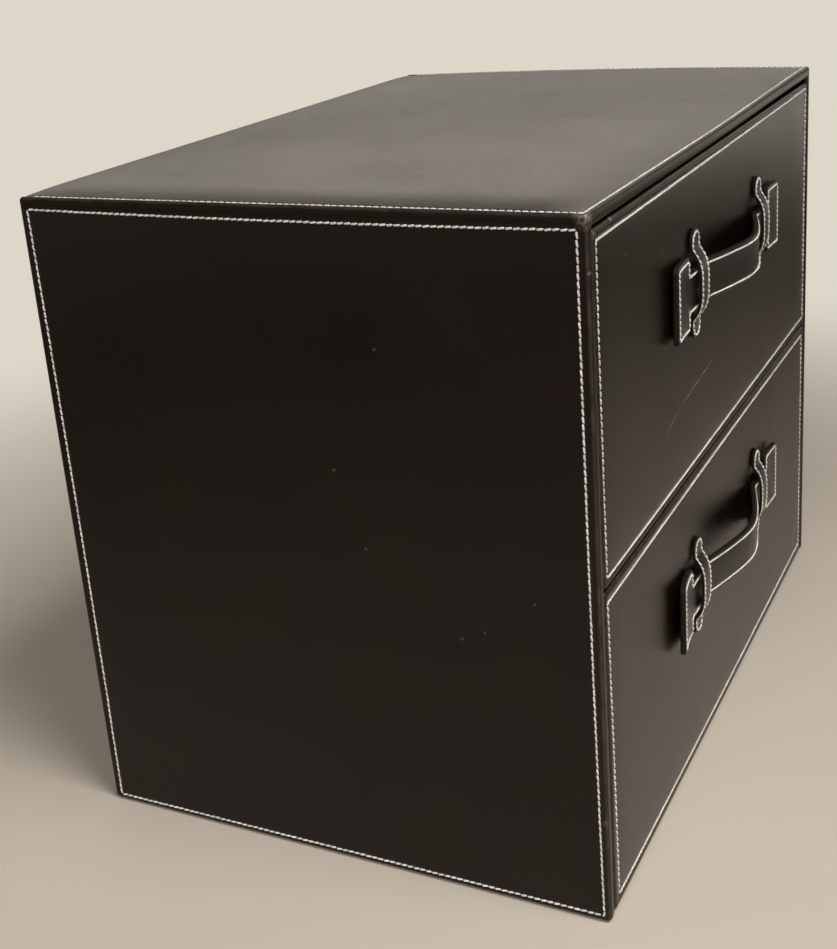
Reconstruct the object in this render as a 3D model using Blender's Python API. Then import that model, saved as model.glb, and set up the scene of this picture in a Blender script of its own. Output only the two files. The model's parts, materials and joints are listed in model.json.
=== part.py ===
"""Two-drawer desk box for papers and keepsakes, covered in dark leatherette and lined with felt.

A cabinet of thin boards in a leatherette wrap, two drawers that slide out of it, and on each drawer a
T-ended strap that runs through two sewn keepers. Metres, +Z up, front towards -Y, right towards +X.
The origin lies under the middle of the base.
"""

import math

import bmesh
import bpy
from mathutils import Vector

# Overall size of the cabinet, over its leatherette
WIDTH = 0.375
DEPTH = 0.255
HEIGHT = 0.300

# Sheet and board thicknesses
LEATHER = 0.0008
LINING = 0.0008
BASE_FELT = 0.0012
COVER_FOOT = 0.0004
BOARD = 0.0032
TOP_BOARD = 0.0040
FRONT_BOARD = 0.0040
TRAY_BOARD = 0.0030

# Clearances
FIT = 0.0003
FRONT_SIDE_GAP = 0.0008
FRONT_TOP_GAP = 0.0010
FRONT_FLOOR_GAP = 0.0013
FRONTS_GAP = 0.0012
FRONT_BACK_GAP = 0.0008
TRAY_SIDE_GAP = 0.0012
TRAY_BACK_GAP = 0.0040
TRAY_HEADROOM = 0.0128
OVERRUN = 0.0100

# Wrapped edges: the radius of the board inside them, and how far the leather is turned in behind
CORE_RADIUS = 0.0009
TURN_IN = 0.0140
ROUND_STEPS = 3
SHARP = math.radians(40)

# Eased edges of boards and sheets, as shares of their thickness
EASE_SHARE = 0.2
FOLD_SHARE = 0.5
EASE_STEPS = 1

# Back cover, a sheet glued over the back edges
BACK_COVER_MARGIN = 0.0045
BACK_COVER_CORNER = 0.0060
CORNER_STEPS = 5

# The felt in the drawers ends below their rims
LINING_DROP = 0.0020

# Strap handles: the height of their middle over the middle of the drawer front, and the strap's height
HANDLE_RISE = 0.0167
STRAP_HEIGHT = 0.0190

# Keepers: they arch over the strap, come down to the front beside it, and are sewn flat at both ends.
# The strap hangs a little below their middle.
KEEPER_SPACING = 0.1140
KEEPER_WIDTH = 0.0120
KEEPER_THICKNESS = 0.0014
KEEPER_EDGE_SHARE = 0.3
KEEPER_CORNER_SHARE = 0.46
KEEPER_SEWN_END = 0.0090
KEEPER_FOOT = 0.0060
KEEPER_REACH = STRAP_HEIGHT / 2 + KEEPER_FOOT
KEEPER_RISE = 0.0013
KEEPER_PLAY = 0.0015
KEEPER_POWER = 3.5
KEEPER_SOFTNESS_SHARE = 0.12
KEEPER_STEP = 0.0018

# The strap
STRAP_THICKNESS = 0.0028
STRAP_EDGE_SHARE = 0.25
STRAP_ROUND_STEPS = 2
STRAP_PLAY = 0.0080
PLATE_LENGTH = 0.0220
PLATE_REACH = 0.00725
PLATE_CORNER_SHARE = 0.3
STRAP_STEP = 0.0030
STRAP_LENGTH = KEEPER_SPACING + KEEPER_WIDTH + 2 * (STRAP_PLAY + PLATE_LENGTH)

# The strap's bow between its keepers, and how far each end plate stands off the front at its tip
BOW = 0.0108
BOW_PLAY = 0.0040
BOW_SPAN = KEEPER_SPACING - KEEPER_WIDTH - 2 * BOW_PLAY
BOW_CROWN = 0.0060
BOW_POWER = 1.25
BOW_SOFTNESS_SHARE = 0.05
PLATE_LIFTS = {"upper": (0.0014, 0.0006), "lower": (0.0028, 0.0010)}

# Levels and faces that the pieces share
EDGE_RADIUS = CORE_RADIUS + FIT + LEATHER
FRONT_Y = -DEPTH / 2
BACK_Y = DEPTH / 2
SIDE_PANEL = LEATHER + FIT + BOARD + FIT + LINING
TOP_PANEL = LEATHER + FIT + TOP_BOARD + FIT + LINING
FRONT_PANEL = LEATHER + FIT + FRONT_BOARD + FIT + LEATHER
BAY_HALF = WIDTH / 2 - SIDE_PANEL
BAY_TOP = HEIGHT - TOP_PANEL
INNER_HALF = BAY_HALF - FIT
BASE_BOTTOM = BASE_FELT + FIT
BASE_TOP = BASE_BOTTOM + BOARD
BASE_LINING_TOP = BASE_TOP + FIT + LINING
DIVIDER_MIDDLE = HEIGHT / 2
DIVIDER_BOTTOM = DIVIDER_MIDDLE - BOARD / 2
DIVIDER_TOP = DIVIDER_MIDDLE + BOARD / 2
DIVIDER_LINING_BOTTOM = DIVIDER_BOTTOM - FIT - LINING
DIVIDER_LINING_TOP = DIVIDER_TOP + FIT + LINING
SHELF_FRONT = FRONT_Y + FRONT_PANEL + FRONT_BACK_GAP
SHELF_BOARD_FRONT = SHELF_FRONT + LINING + FIT
BACK_BOARD_FRONT = BACK_Y - BOARD
BACK_LINING_FRONT = BACK_BOARD_FRONT - FIT - LINING
TRAY_HALF = BAY_HALF - TRAY_SIDE_GAP
TRAY_FRONT = FRONT_Y + FRONT_PANEL + FIT
TRAY_BACK = BACK_LINING_FRONT - TRAY_BACK_GAP

# Each drawer: the bottom and top of its front, and the bottom and rim of its tray
DRAWERS = {
    "upper": {
        "bottom": DIVIDER_MIDDLE + FRONTS_GAP / 2,
        "top": BAY_TOP - FRONT_TOP_GAP,
        "floor": DIVIDER_LINING_TOP + FIT,
        "rim": BAY_TOP - TRAY_HEADROOM,
    },
    "lower": {
        "bottom": FRONT_FLOOR_GAP,
        "top": DIVIDER_MIDDLE - FRONTS_GAP / 2,
        "floor": BASE_LINING_TOP + FIT,
        "rim": DIVIDER_LINING_BOTTOM - TRAY_HEADROOM,
    },
}

# Finishes: colour, roughness and metallic value
LEATHERETTE = ((0.020, 0.015, 0.012), 0.36, 0.0)
STRAP_LEATHER = ((0.026, 0.020, 0.017), 0.42, 0.0)
FELT = ((0.030, 0.026, 0.025), 0.95, 0.0)
FIBREBOARD = ((0.230, 0.150, 0.090), 0.80, 0.0)
BLACK_PAPER = ((0.022, 0.020, 0.019), 0.70, 0.0)


def clear_scene():
    """Takes away what the file opened with."""
    for obj in list(bpy.data.objects):
        bpy.data.objects.remove(obj, do_unlink=True)


def new_collection(name):
    """A collection under the scene's own."""
    group = bpy.data.collections.new(name)
    bpy.context.scene.collection.children.link(group)
    return group


def new_material(name, finish):
    """A Principled material of the finish's colour, roughness and metallic value."""
    colour, roughness, metallic = finish
    material = bpy.data.materials.new(name)
    material.use_nodes = True
    shader = material.node_tree.nodes["Principled BSDF"]
    shader.inputs["Base Color"].default_value = (*colour, 1.0)
    shader.inputs["Roughness"].default_value = roughness
    shader.inputs["Metallic"].default_value = metallic
    material.diffuse_color = (*colour, 1.0)
    return material


def new_object(name, bm, group, at, parent=None):
    """An object from a bmesh that is drawn about its own origin, placed at a world point."""
    mesh = bpy.data.meshes.new(name)
    bmesh.ops.recalc_face_normals(bm, faces=bm.faces)
    bm.to_mesh(mesh)
    bm.free()
    mesh.shade_smooth()
    mesh.set_sharp_from_angle(angle=SHARP)
    obj = bpy.data.objects.new(name, mesh)
    group.objects.link(obj)
    obj.parent = parent
    obj.location = at - (world_origin(parent) if parent else Vector())
    return obj


def world_origin(obj):
    """Where an object or empty lies, its parents being unturned and unscaled."""
    place = Vector(obj.location)
    while obj.parent:
        obj = obj.parent
        place += obj.location
    return place


def new_body(name, group, at, parent=None):
    """An empty on the joint axis of a body, which carries the body's pieces."""
    empty = bpy.data.objects.new(name + "_origin", None)
    group.objects.link(empty)
    empty.parent = parent
    empty.location = at - (world_origin(parent) if parent else Vector())
    return empty


def block(lo, hi):
    """A box about its own middle, as large as from one corner to the other, and where that middle lies."""
    lo, hi = Vector(lo), Vector(hi)
    bm = bmesh.new()
    bmesh.ops.create_cube(bm, size=1.0)
    bmesh.ops.scale(bm, vec=hi - lo, verts=bm.verts)
    return bm, (lo + hi) / 2


def prism(outline, thickness):
    """An outline in the XZ plane, drawn out along Y to either side of it."""
    bm = bmesh.new()
    corners = [bm.verts.new((x, -thickness / 2, z)) for x, z in outline]
    face = bm.faces.new(corners)
    drawn = bmesh.ops.extrude_face_region(bm, geom=[face])["geom"]
    moved = [item for item in drawn if isinstance(item, bmesh.types.BMVert)]
    bmesh.ops.translate(bm, vec=(0, thickness, 0), verts=moved)
    bmesh.ops.recalc_face_normals(bm, faces=bm.faces)
    return bm


def round_edges(bm, radius, chosen=lambda edge: True, steps=ROUND_STEPS):
    """Rounds the outward corners of a solid."""
    edges = [edge for edge in bm.edges if edge.calc_face_angle_signed() > SHARP and chosen(edge)]
    bmesh.ops.bevel(
        bm, geom=edges, offset=radius, offset_type="OFFSET", segments=steps, profile=0.5, affect="EDGES"
    )
    return bm


def in_one_face(edge):
    """Whether an edge of a prism runs round its front or back face, and not through its thickness."""
    near, far = edge.verts
    return (near.co.y < 0) == (far.co.y < 0)


def filleted(corners, radii, steps):
    """The closed outline through the corners, each rounded by an arc of its own radius."""
    corners = [Vector(corner) for corner in corners]
    outline = []
    for index, corner in enumerate(corners):
        before = (corners[index - 1] - corner).normalized()
        after = (corners[(index + 1) % len(corners)] - corner).normalized()
        half = before.angle(after) / 2
        centre = corner + (before + after).normalized() * radii[index] / math.sin(half)
        start = corner + before * radii[index] / math.tan(half) - centre
        turn = (corner + after * radii[index] / math.tan(half) - centre).angle_signed(start)
        for step in range(steps + 1):
            angle = turn * step / steps
            outline.append(
                (
                    centre.x + start.x * math.cos(angle) - start.y * math.sin(angle),
                    centre.y + start.x * math.sin(angle) + start.y * math.cos(angle),
                )
            )
    return outline


def cut(obj, cutter):
    """Takes the cutter's solid out of an object."""
    cutter.hide_render = True
    cutter.display_type = "WIRE"
    boolean = obj.modifiers.new("cut_by_" + cutter.name, "BOOLEAN")
    boolean.operation = "DIFFERENCE"
    boolean.solver = "EXACT"
    boolean.object = cutter


def board(name, lo, hi, parent, finish, edge=None):
    """A sheet or board between two corners, with eased edges."""
    bm, middle = block(lo, hi)
    thickness = min(Vector(hi) - Vector(lo))
    eased = round_edges(bm, edge or thickness * EASE_SHARE, steps=EASE_STEPS)
    obj = new_object(name, eased, PARTS, middle, parent)
    obj.data.materials.append(new_material(name + "_finish", finish))
    return obj


def u_panel(inset):
    """The cabinet's sides and top as one inverted U, with every face moved in by the inset."""
    outer, top, foot = WIDTH / 2 - inset, HEIGHT - inset, COVER_FOOT + inset
    inner, under = BAY_HALF + inset, BAY_TOP + inset
    outline = [
        (-outer, foot),
        (-outer, top),
        (outer, top),
        (outer, foot),
        (inner, foot),
        (inner, under),
        (-inner, under),
        (-inner, foot),
    ]
    return round_edges(prism(outline, DEPTH - 2 * inset), EDGE_RADIUS - inset)


def outer_cover(parent):
    """The leatherette round the sides and top, turned in behind all their edges."""
    cover = new_object("outer_cover", u_panel(0), PARTS, Vector(), parent)
    cover.data.materials.append(new_material("outer_cover_finish", LEATHERETTE))
    cavity = new_object("outer_cover_cavity", u_panel(LEATHER), CUTTERS, Vector())
    bite = LEATHER + FIT + BOARD / 2
    window, middle = block(
        (-BAY_HALF - bite, FRONT_Y + TURN_IN, COVER_FOOT + TURN_IN),
        (BAY_HALF + bite, BACK_Y - TURN_IN, BAY_TOP + bite),
    )
    cut(cover, cavity)
    cut(cover, new_object("outer_cover_window", window, CUTTERS, middle))


def cabinet_boards(parent):
    """The boards inside the wrap, and the base, divider and back that stand between them."""
    wall = LEATHER + FIT
    front, back = FRONT_Y + wall, BACK_Y - wall
    for side, name in ((-1, "side_board_left"), (1, "side_board_right")):
        near, far = sorted((side * (WIDTH / 2 - wall), side * (WIDTH / 2 - wall - BOARD)))
        top = HEIGHT - wall - TOP_BOARD - FIT
        board(name, (near, front, COVER_FOOT + wall), (far, back, top), parent, FIBREBOARD, CORE_RADIUS)
    across = WIDTH / 2 - wall
    board(
        "top_board",
        (-across, front, HEIGHT - wall - TOP_BOARD),
        (across, back, HEIGHT - wall),
        parent,
        FIBREBOARD,
        CORE_RADIUS,
    )
    board(
        "back_board",
        (-INNER_HALF, BACK_BOARD_FRONT, BASE_BOTTOM),
        (INNER_HALF, BACK_Y, BAY_TOP - FIT),
        parent,
        FIBREBOARD,
    )
    board(
        "base_board",
        (-INNER_HALF, SHELF_BOARD_FRONT, BASE_BOTTOM),
        (INNER_HALF, BACK_BOARD_FRONT - FIT, BASE_TOP),
        parent,
        FIBREBOARD,
    )
    board(
        "divider_board",
        (-INNER_HALF, SHELF_BOARD_FRONT, DIVIDER_BOTTOM),
        (INNER_HALF, BACK_LINING_FRONT - FIT, DIVIDER_TOP),
        parent,
        FIBREBOARD,
    )


def cabinet_linings(parent):
    """The felt sheets inside the cabinet, between the turned-in edges."""
    front, back = FRONT_Y + TURN_IN + FIT, BACK_Y - TURN_IN - FIT
    for side, name in ((-1, "side_lining_left"), (1, "side_lining_right")):
        near, far = sorted((side * BAY_HALF, side * (BAY_HALF + LINING)))
        lo, hi = (near, front, COVER_FOOT + TURN_IN + FIT), (far, back, BAY_TOP + LINING)
        board(name, lo, hi, parent, FELT)
    board(
        "top_lining",
        (-INNER_HALF, front, BAY_TOP),
        (INNER_HALF, back, BAY_TOP + LINING),
        parent,
        FELT,
    )
    board(
        "back_lining",
        (-INNER_HALF, BACK_LINING_FRONT, BASE_TOP + FIT),
        (INNER_HALF, BACK_LINING_FRONT + LINING, BAY_TOP - FIT),
        parent,
        FELT,
    )


def shelf_lining(name, bottom, top, back, opening, parent):
    """The felt folded round a shelf's front edge: its outside from bottom to top, less the shelf's space."""
    bm, middle = block((-INNER_HALF, SHELF_FRONT, bottom), (INNER_HALF, back, top))
    fold = round_edges(bm, LINING * FOLD_SHARE, lambda edge: all(vert.co.y < 0 for vert in edge.verts))
    lining = new_object(name, fold, PARTS, middle, parent)
    lining.data.materials.append(new_material(name + "_finish", FELT))
    space, middle = block(
        (-INNER_HALF - OVERRUN, SHELF_FRONT + LINING, opening[0]),
        (INNER_HALF + OVERRUN, back + OVERRUN, opening[1]),
    )
    cut(lining, new_object(name + "_space", space, CUTTERS, middle))


def base_and_back(parent):
    """The felt under the base, the felt folded over each shelf, and the leatherette sheet on the back."""
    board(
        "base_felt",
        (-INNER_HALF, SHELF_FRONT, 0),
        (INNER_HALF, BACK_Y, BASE_FELT),
        parent,
        FELT,
    )
    back = BACK_LINING_FRONT - FIT
    shelf_lining(
        "base_lining", BASE_BOTTOM, BASE_LINING_TOP, back, (-OVERRUN, BASE_TOP + FIT), parent
    )
    shelf_lining(
        "divider_lining",
        DIVIDER_LINING_BOTTOM,
        DIVIDER_LINING_TOP,
        back,
        (DIVIDER_BOTTOM - FIT, DIVIDER_TOP + FIT),
        parent,
    )
    half = WIDTH / 2 - BACK_COVER_MARGIN
    foot, top = BACK_COVER_MARGIN, HEIGHT - BACK_COVER_MARGIN
    outline = filleted(
        [(-half, foot), (-half, top), (half, top), (half, foot)], [BACK_COVER_CORNER] * 4, CORNER_STEPS
    )
    sheet = round_edges(prism(outline, LEATHER), LEATHER * EASE_SHARE, in_one_face, EASE_STEPS)
    cover = new_object("back_cover", sheet, PARTS, Vector((0, BACK_Y + FIT + LEATHER / 2, 0)), parent)
    cover.data.materials.append(new_material("back_cover_finish", LEATHERETTE))


def drawer_front(drawer, parent):
    """A drawer's front board and the leatherette wrapped round it and turned in behind."""
    name, sizes = drawer, DRAWERS[drawer]
    half = BAY_HALF - FRONT_SIDE_GAP
    lo = Vector((-half, FRONT_Y, sizes["bottom"]))
    hi = Vector((half, FRONT_Y + FRONT_PANEL, sizes["top"]))
    skin = Vector((LEATHER, LEATHER, LEATHER))
    core = skin + Vector((FIT, FIT, FIT))
    bm, middle = block(lo, hi)
    cover = new_object(name + "_front_cover", round_edges(bm, EDGE_RADIUS), PARTS, middle, parent)
    cover.data.materials.append(new_material(name + "_front_cover_finish", LEATHERETTE))
    bm, middle = block(lo + skin, hi - skin)
    cavity = new_object(name + "_front_cavity", round_edges(bm, EDGE_RADIUS - LEATHER), CUTTERS, middle)
    window, middle = block(
        (lo.x + TURN_IN, hi.y - LEATHER - FIT - FRONT_BOARD / 2, lo.z + TURN_IN),
        (hi.x - TURN_IN, hi.y + OVERRUN, hi.z - TURN_IN),
    )
    cut(cover, cavity)
    cut(cover, new_object(name + "_front_window", window, CUTTERS, middle))
    board(name + "_front_board", lo + core, hi - core, parent, FIBREBOARD, CORE_RADIUS)


def drawer_tray(drawer, parent):
    """The five boards of a drawer's tray and the felt tray that lines them."""
    floor, rim = DRAWERS[drawer]["floor"], DRAWERS[drawer]["rim"]
    inner = TRAY_HALF - TRAY_BOARD
    for side, wall in ((-1, "_left_wall"), (1, "_right_wall")):
        near, far = sorted((side * TRAY_HALF, side * inner))
        lo, hi = (near, TRAY_FRONT, floor), (far, TRAY_BACK, rim)
        board(drawer + wall, lo, hi, parent, BLACK_PAPER)
    between = inner - FIT
    for start, wall in ((TRAY_FRONT, "_inner_front"), (TRAY_BACK - TRAY_BOARD, "_back_wall")):
        lo, hi = (-between, start, floor), (between, start + TRAY_BOARD, rim)
        board(drawer + wall, lo, hi, parent, BLACK_PAPER)
    front, back = TRAY_FRONT + TRAY_BOARD + FIT, TRAY_BACK - TRAY_BOARD - FIT
    lo, hi = (-between, front, floor), (between, back, floor + TRAY_BOARD)
    board(drawer + "_bottom_board", lo, hi, parent, BLACK_PAPER)
    bottom = floor + TRAY_BOARD + FIT
    bm, middle = block((-between, front, bottom), (between, back, rim - LINING_DROP))
    lining = new_object(drawer + "_felt_lining", bm, PARTS, middle, parent)
    lining.data.materials.append(new_material(drawer + "_felt_lining_finish", FELT))
    hollow, middle = block(
        (-between + LINING, front + LINING, bottom + LINING),
        (between - LINING, back - LINING, rim + OVERRUN),
    )
    cut(lining, new_object(drawer + "_felt_hollow", hollow, CUTTERS, middle))


def landed(arch, softness):
    """An arch of height 1 that comes down to 0 and stays there, rounded where it lands."""
    return (arch + math.hypot(arch, softness)) / 2


def bow_share(along):
    """How far a place along the handle is from the bow's middle, which is rounded, as a share of its half."""
    return (math.hypot(along, BOW_CROWN) - BOW_CROWN) / (math.hypot(BOW_SPAN / 2, BOW_CROWN) - BOW_CROWN)


def strap_height(along, lifts):
    """How far the strap's middle stands off the drawer front, at a place along the handle."""
    bow = BOW * landed(1 - bow_share(along) ** BOW_POWER, BOW_SOFTNESS_SHARE)
    lift = lifts[0] if along < 0 else lifts[1]
    out = max(0.0, (abs(along) - STRAP_LENGTH / 2 + PLATE_LENGTH) / PLATE_LENGTH)
    return FIT + STRAP_THICKNESS / 2 + bow + lift * out**2


def keeper_height(along):
    """How far a keeper's middle stands off the drawer front, at a height along it."""
    arch = 1 - (abs(along) / KEEPER_REACH) ** KEEPER_POWER
    rise = (STRAP_THICKNESS + KEEPER_PLAY) * landed(arch, KEEPER_SOFTNESS_SHARE)
    return FIT + KEEPER_THICKNESS / 2 + rise


def bent_strap(outline, thickness, edge, step, height, upright):
    """A flat leather strap of an outline, sliced along its length and laid along a curve off the front.

    The outline is drawn along and across the strap. An upright strap runs along Z and the others along X.
    """
    bm = round_edges(prism(outline, thickness), edge, in_one_face, STRAP_ROUND_STEPS)
    reach = max(vert.co.x for vert in bm.verts)
    slices = math.ceil(2 * reach / step)
    for index in range(1, slices):
        place = Vector((-reach + 2 * reach * index / slices, 0, 0))
        everything = bm.verts[:] + bm.edges[:] + bm.faces[:]
        bmesh.ops.bisect_plane(bm, geom=everything, plane_co=place, plane_no=(1, 0, 0))
    for vert in bm.verts:
        along, off, across = vert.co.x, -vert.co.y, vert.co.z
        slope = (height(along + edge) - height(along - edge)) / (2 * edge)
        stretch = math.hypot(1, slope)
        moved = along - off * slope / stretch
        out = -height(along) - off / stretch
        vert.co = (across, out, moved) if upright else (moved, out, across)
    return bm


def strap_outline():
    """A strap with a taller plate at each end, like a T lying on its side."""
    tip, neck = STRAP_LENGTH / 2, STRAP_LENGTH / 2 - PLATE_LENGTH
    tall, low = STRAP_HEIGHT / 2 + PLATE_REACH, STRAP_HEIGHT / 2
    corners = [
        (-tip, -tall),
        (-tip, tall),
        (-neck, tall),
        (-neck, low),
        (neck, low),
        (neck, tall),
        (tip, tall),
        (tip, -tall),
        (neck, -tall),
        (neck, -low),
        (-neck, -low),
        (-neck, -tall),
    ]
    return filleted(corners, [PLATE_REACH * PLATE_CORNER_SHARE] * len(corners), ROUND_STEPS)


def keeper_outline():
    """A short strap with round ends."""
    tip, side = KEEPER_REACH + KEEPER_SEWN_END, KEEPER_WIDTH / 2
    corners = [(-tip, -side), (-tip, side), (tip, side), (tip, -side)]
    return filleted(corners, [KEEPER_WIDTH * KEEPER_CORNER_SHARE] * 4, CORNER_STEPS)


def handle_middle(drawer):
    """The point of a drawer's front behind the middle of its handle."""
    sizes = DRAWERS[drawer]
    return Vector((0, FRONT_Y, (sizes["bottom"] + sizes["top"]) / 2 + HANDLE_RISE))


def drawer_keepers(drawer, parent):
    """The two keepers sewn to a drawer's front."""
    edge = KEEPER_THICKNESS * KEEPER_EDGE_SHARE
    for side, name in ((-1, "_keeper_left"), (1, "_keeper_right")):
        bm = bent_strap(keeper_outline(), KEEPER_THICKNESS, edge, KEEPER_STEP, keeper_height, True)
        at = handle_middle(drawer) + Vector((side * KEEPER_SPACING / 2, 0, KEEPER_RISE))
        keeper = new_object(drawer + name, bm, PARTS, at, parent)
        keeper.data.materials.append(new_material(drawer + name + "_finish", STRAP_LEATHER))


def drawer_strap(drawer, parent):
    """The T-ended strap of a drawer, bowed out between its keepers."""
    lifts = PLATE_LIFTS[drawer]
    bm = bent_strap(
        strap_outline(),
        STRAP_THICKNESS,
        STRAP_THICKNESS * STRAP_EDGE_SHARE,
        STRAP_STEP,
        lambda along: strap_height(along, lifts),
        False,
    )
    strap = new_object(drawer + "_handle_strap", bm, PARTS, handle_middle(drawer), parent)
    strap.data.materials.append(new_material(drawer + "_handle_strap_finish", STRAP_LEATHER))


clear_scene()
PARTS = new_collection("leatherette_two_drawer_box")
CUTTERS = new_collection("cutters")
cabinet = new_body("cabinet", PARTS, Vector())
outer_cover(cabinet)
cabinet_boards(cabinet)
cabinet_linings(cabinet)
base_and_back(cabinet)
for drawer in DRAWERS:
    middle = Vector((0, FRONT_Y, (DRAWERS[drawer]["bottom"] + DRAWERS[drawer]["top"]) / 2))
    slider = new_body(drawer + "_drawer", PARTS, middle, cabinet)
    drawer_front(drawer, slider)
    drawer_tray(drawer, slider)
    drawer_keepers(drawer, slider)
    handle = new_body(drawer + "_handle", PARTS, handle_middle(drawer), slider)
    drawer_strap(drawer, handle)
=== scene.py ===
"""Two-drawer desk box, dressed: sewn leatherette, strap handles and felt over the boards of the frame.

Metres, +Z up, drawer fronts towards -Y, the box standing on the origin.
"""

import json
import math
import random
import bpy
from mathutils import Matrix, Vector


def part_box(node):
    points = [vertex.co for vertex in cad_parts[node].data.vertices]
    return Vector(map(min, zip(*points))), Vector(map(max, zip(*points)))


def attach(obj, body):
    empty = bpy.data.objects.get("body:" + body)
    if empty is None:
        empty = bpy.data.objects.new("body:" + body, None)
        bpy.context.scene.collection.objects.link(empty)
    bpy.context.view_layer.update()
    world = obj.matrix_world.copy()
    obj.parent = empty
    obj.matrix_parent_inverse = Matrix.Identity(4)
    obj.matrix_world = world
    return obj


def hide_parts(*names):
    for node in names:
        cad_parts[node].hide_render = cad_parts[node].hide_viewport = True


bl_info = {
    "name": "Two-Drawer Desk Box",
    "version": (1, 0, 0),
    "blender": (4, 5, 0),
    "location": "View3D > Sidebar > Desk Box",
    "description": "Dresses a two-drawer desk box in sewn leatherette, strap handles and felt",
    "category": "Add Mesh",
}

import bmesh
import bpy
from mathutils import Matrix, Vector, noise
from mathutils.bvhtree import BVHTree

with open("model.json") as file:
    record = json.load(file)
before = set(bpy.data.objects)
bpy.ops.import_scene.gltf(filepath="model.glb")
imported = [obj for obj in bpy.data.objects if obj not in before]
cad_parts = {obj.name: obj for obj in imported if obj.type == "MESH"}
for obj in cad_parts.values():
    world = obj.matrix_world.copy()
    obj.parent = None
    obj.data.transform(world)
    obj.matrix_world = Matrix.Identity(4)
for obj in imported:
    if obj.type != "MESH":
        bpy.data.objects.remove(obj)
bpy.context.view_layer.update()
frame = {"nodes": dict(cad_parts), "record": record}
MM = 0.001

# What the frame says of the cabinet and its bays
CABINET_LOW, CABINET_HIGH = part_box("outer_cover")
FRONT_Y = CABINET_LOW.y
TOP_Z = CABINET_HIGH.z
BAY_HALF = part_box("side_lining_right")[0].x
BAY_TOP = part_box("top_lining")[0].z
DRAWERS = ("upper", "lower")
SIDES = ("left", "right")

# Directions of the drawn surfaces
LEFTWARD, RIGHTWARD = Vector((-1, 0, 0)), Vector((1, 0, 0))
FORWARD, BACKWARD = Vector((0, -1, 0)), Vector((0, 1, 0))
DOWNWARD, UPWARD = Vector((0, 0, -1)), Vector((0, 0, 1))

# Shading turns sharp at corners steeper than this, and a face looks along an axis when this close to it
SHARP = math.radians(40)
ALONG_AXIS = 0.9
TOUCHING = 0.02 * MM

# The photograph's camera: where it stands, its picture's right, down and forward, and its lens
CAMERA_PLACE = Vector((-0.64701, -0.29460, 0.40789))
CAMERA_RIGHT = Vector((0.43688654, -0.89663671, -0.07192197))
CAMERA_DOWN = Vector((-0.32146969, -0.08095899, -0.94345264))
CAMERA_FORWARD = Vector((0.84011154, 0.43530249, -0.32361142))
PICTURE_HEIGHT = 949
FOCAL_PIXELS = 1426.3
PRINCIPAL_ROW = 385.0
SHIFT_LEFT = 0.94
SENSOR = 36.0


# Sizes and colours that a user would change


def kind_of_setting(make, **options):
    """Makes settings of one kind, each from its name, its description and its default."""
    return lambda name, description, default: make(
        name=name, description=description, default=default, **options
    )


length = kind_of_setting(bpy.props.FloatProperty, min=0.0, unit="LENGTH", precision=5)
angle = kind_of_setting(bpy.props.FloatProperty, subtype="ANGLE")
fraction = kind_of_setting(bpy.props.FloatProperty, min=0.0, max=1.0, subtype="FACTOR")
colour = kind_of_setting(bpy.props.FloatVectorProperty, size=3, min=0.0, max=1.0, subtype="COLOR")
location = kind_of_setting(bpy.props.FloatVectorProperty, subtype="XYZ")
brightness = kind_of_setting(bpy.props.FloatProperty, min=0.0)
power = kind_of_setting(bpy.props.FloatProperty, min=0.0, unit="POWER")


class DESKBOX_PG_leatherette(bpy.types.PropertyGroup):
    """The sheet that wraps the cabinet and the drawer fronts."""

    colour: colour("Colour", "Colour of the leatherette", (0.0068, 0.0030, 0.0016))
    # This colour is also painted along the rounded edges, partly as a painted highlight
    rubbed_and_highlight_colour: colour("Worn Colour", "Colour where the finish is rubbed off", (0.34, 0.29, 0.24))
    roughness: fraction("Roughness", "Roughness of the satin finish", 0.26)
    shine: fraction("Shine", "How strongly the finish mirrors", 0.26)
    thickness: length("Thickness", "Thickness of the sheet", 0.8 * MM)
    turn_in: length("Turn-In", "How far the sheet is turned in behind an edge", 14 * MM)
    edge_radius: length("Edge Radius", "Radius of the wrapped edges", 2 * MM)
    thick_radius: length("Top Edge Radius", "Radius of the padded edges along the top's sides", 2.6 * MM)
    groove: length("Groove", "Depth of the line that the thread sinks into", 0.10 * MM)
    groove_width: length("Groove Width", "Half width of that line", 0.8 * MM)
    crown: length("Crown", "How far the loose top sheet stands up at its right edge", 2.0 * MM)
    wave: length("Wave", "Height of the slow waves in a hand-wrapped face", 0.22 * MM)
    wave_length: length("Wave Length", "Size of those waves", 85 * MM)
    grain: length("Grain", "Size of one pebble of the grain", 0.75 * MM)
    grain_depth: length("Grain Depth", "Depth of the grain", 0.05 * MM)


class DESKBOX_PG_sewing(bpy.types.PropertyGroup):
    """The thread and its rows."""

    colour: colour("Colour", "Colour of the thread", (0.95, 0.91, 0.84))
    width: length("Thread Width", "Width of the thread", 0.87 * MM)
    pitch: length("Pitch", "Length of one stitch and its gap on the panels", 3.0 * MM)
    handle_pitch: length("Handle Pitch", "Length of one stitch and its gap on the handles", 2.5 * MM)
    bite: length("Bite", "How much of the pitch is the gap between two stitches", 0.20 * MM)
    corner: length("Corner", "Radius of a row's corners", 1.2 * MM)
    slant: angle("Slant", "How far a stitch turns from its row", math.radians(8))


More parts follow.
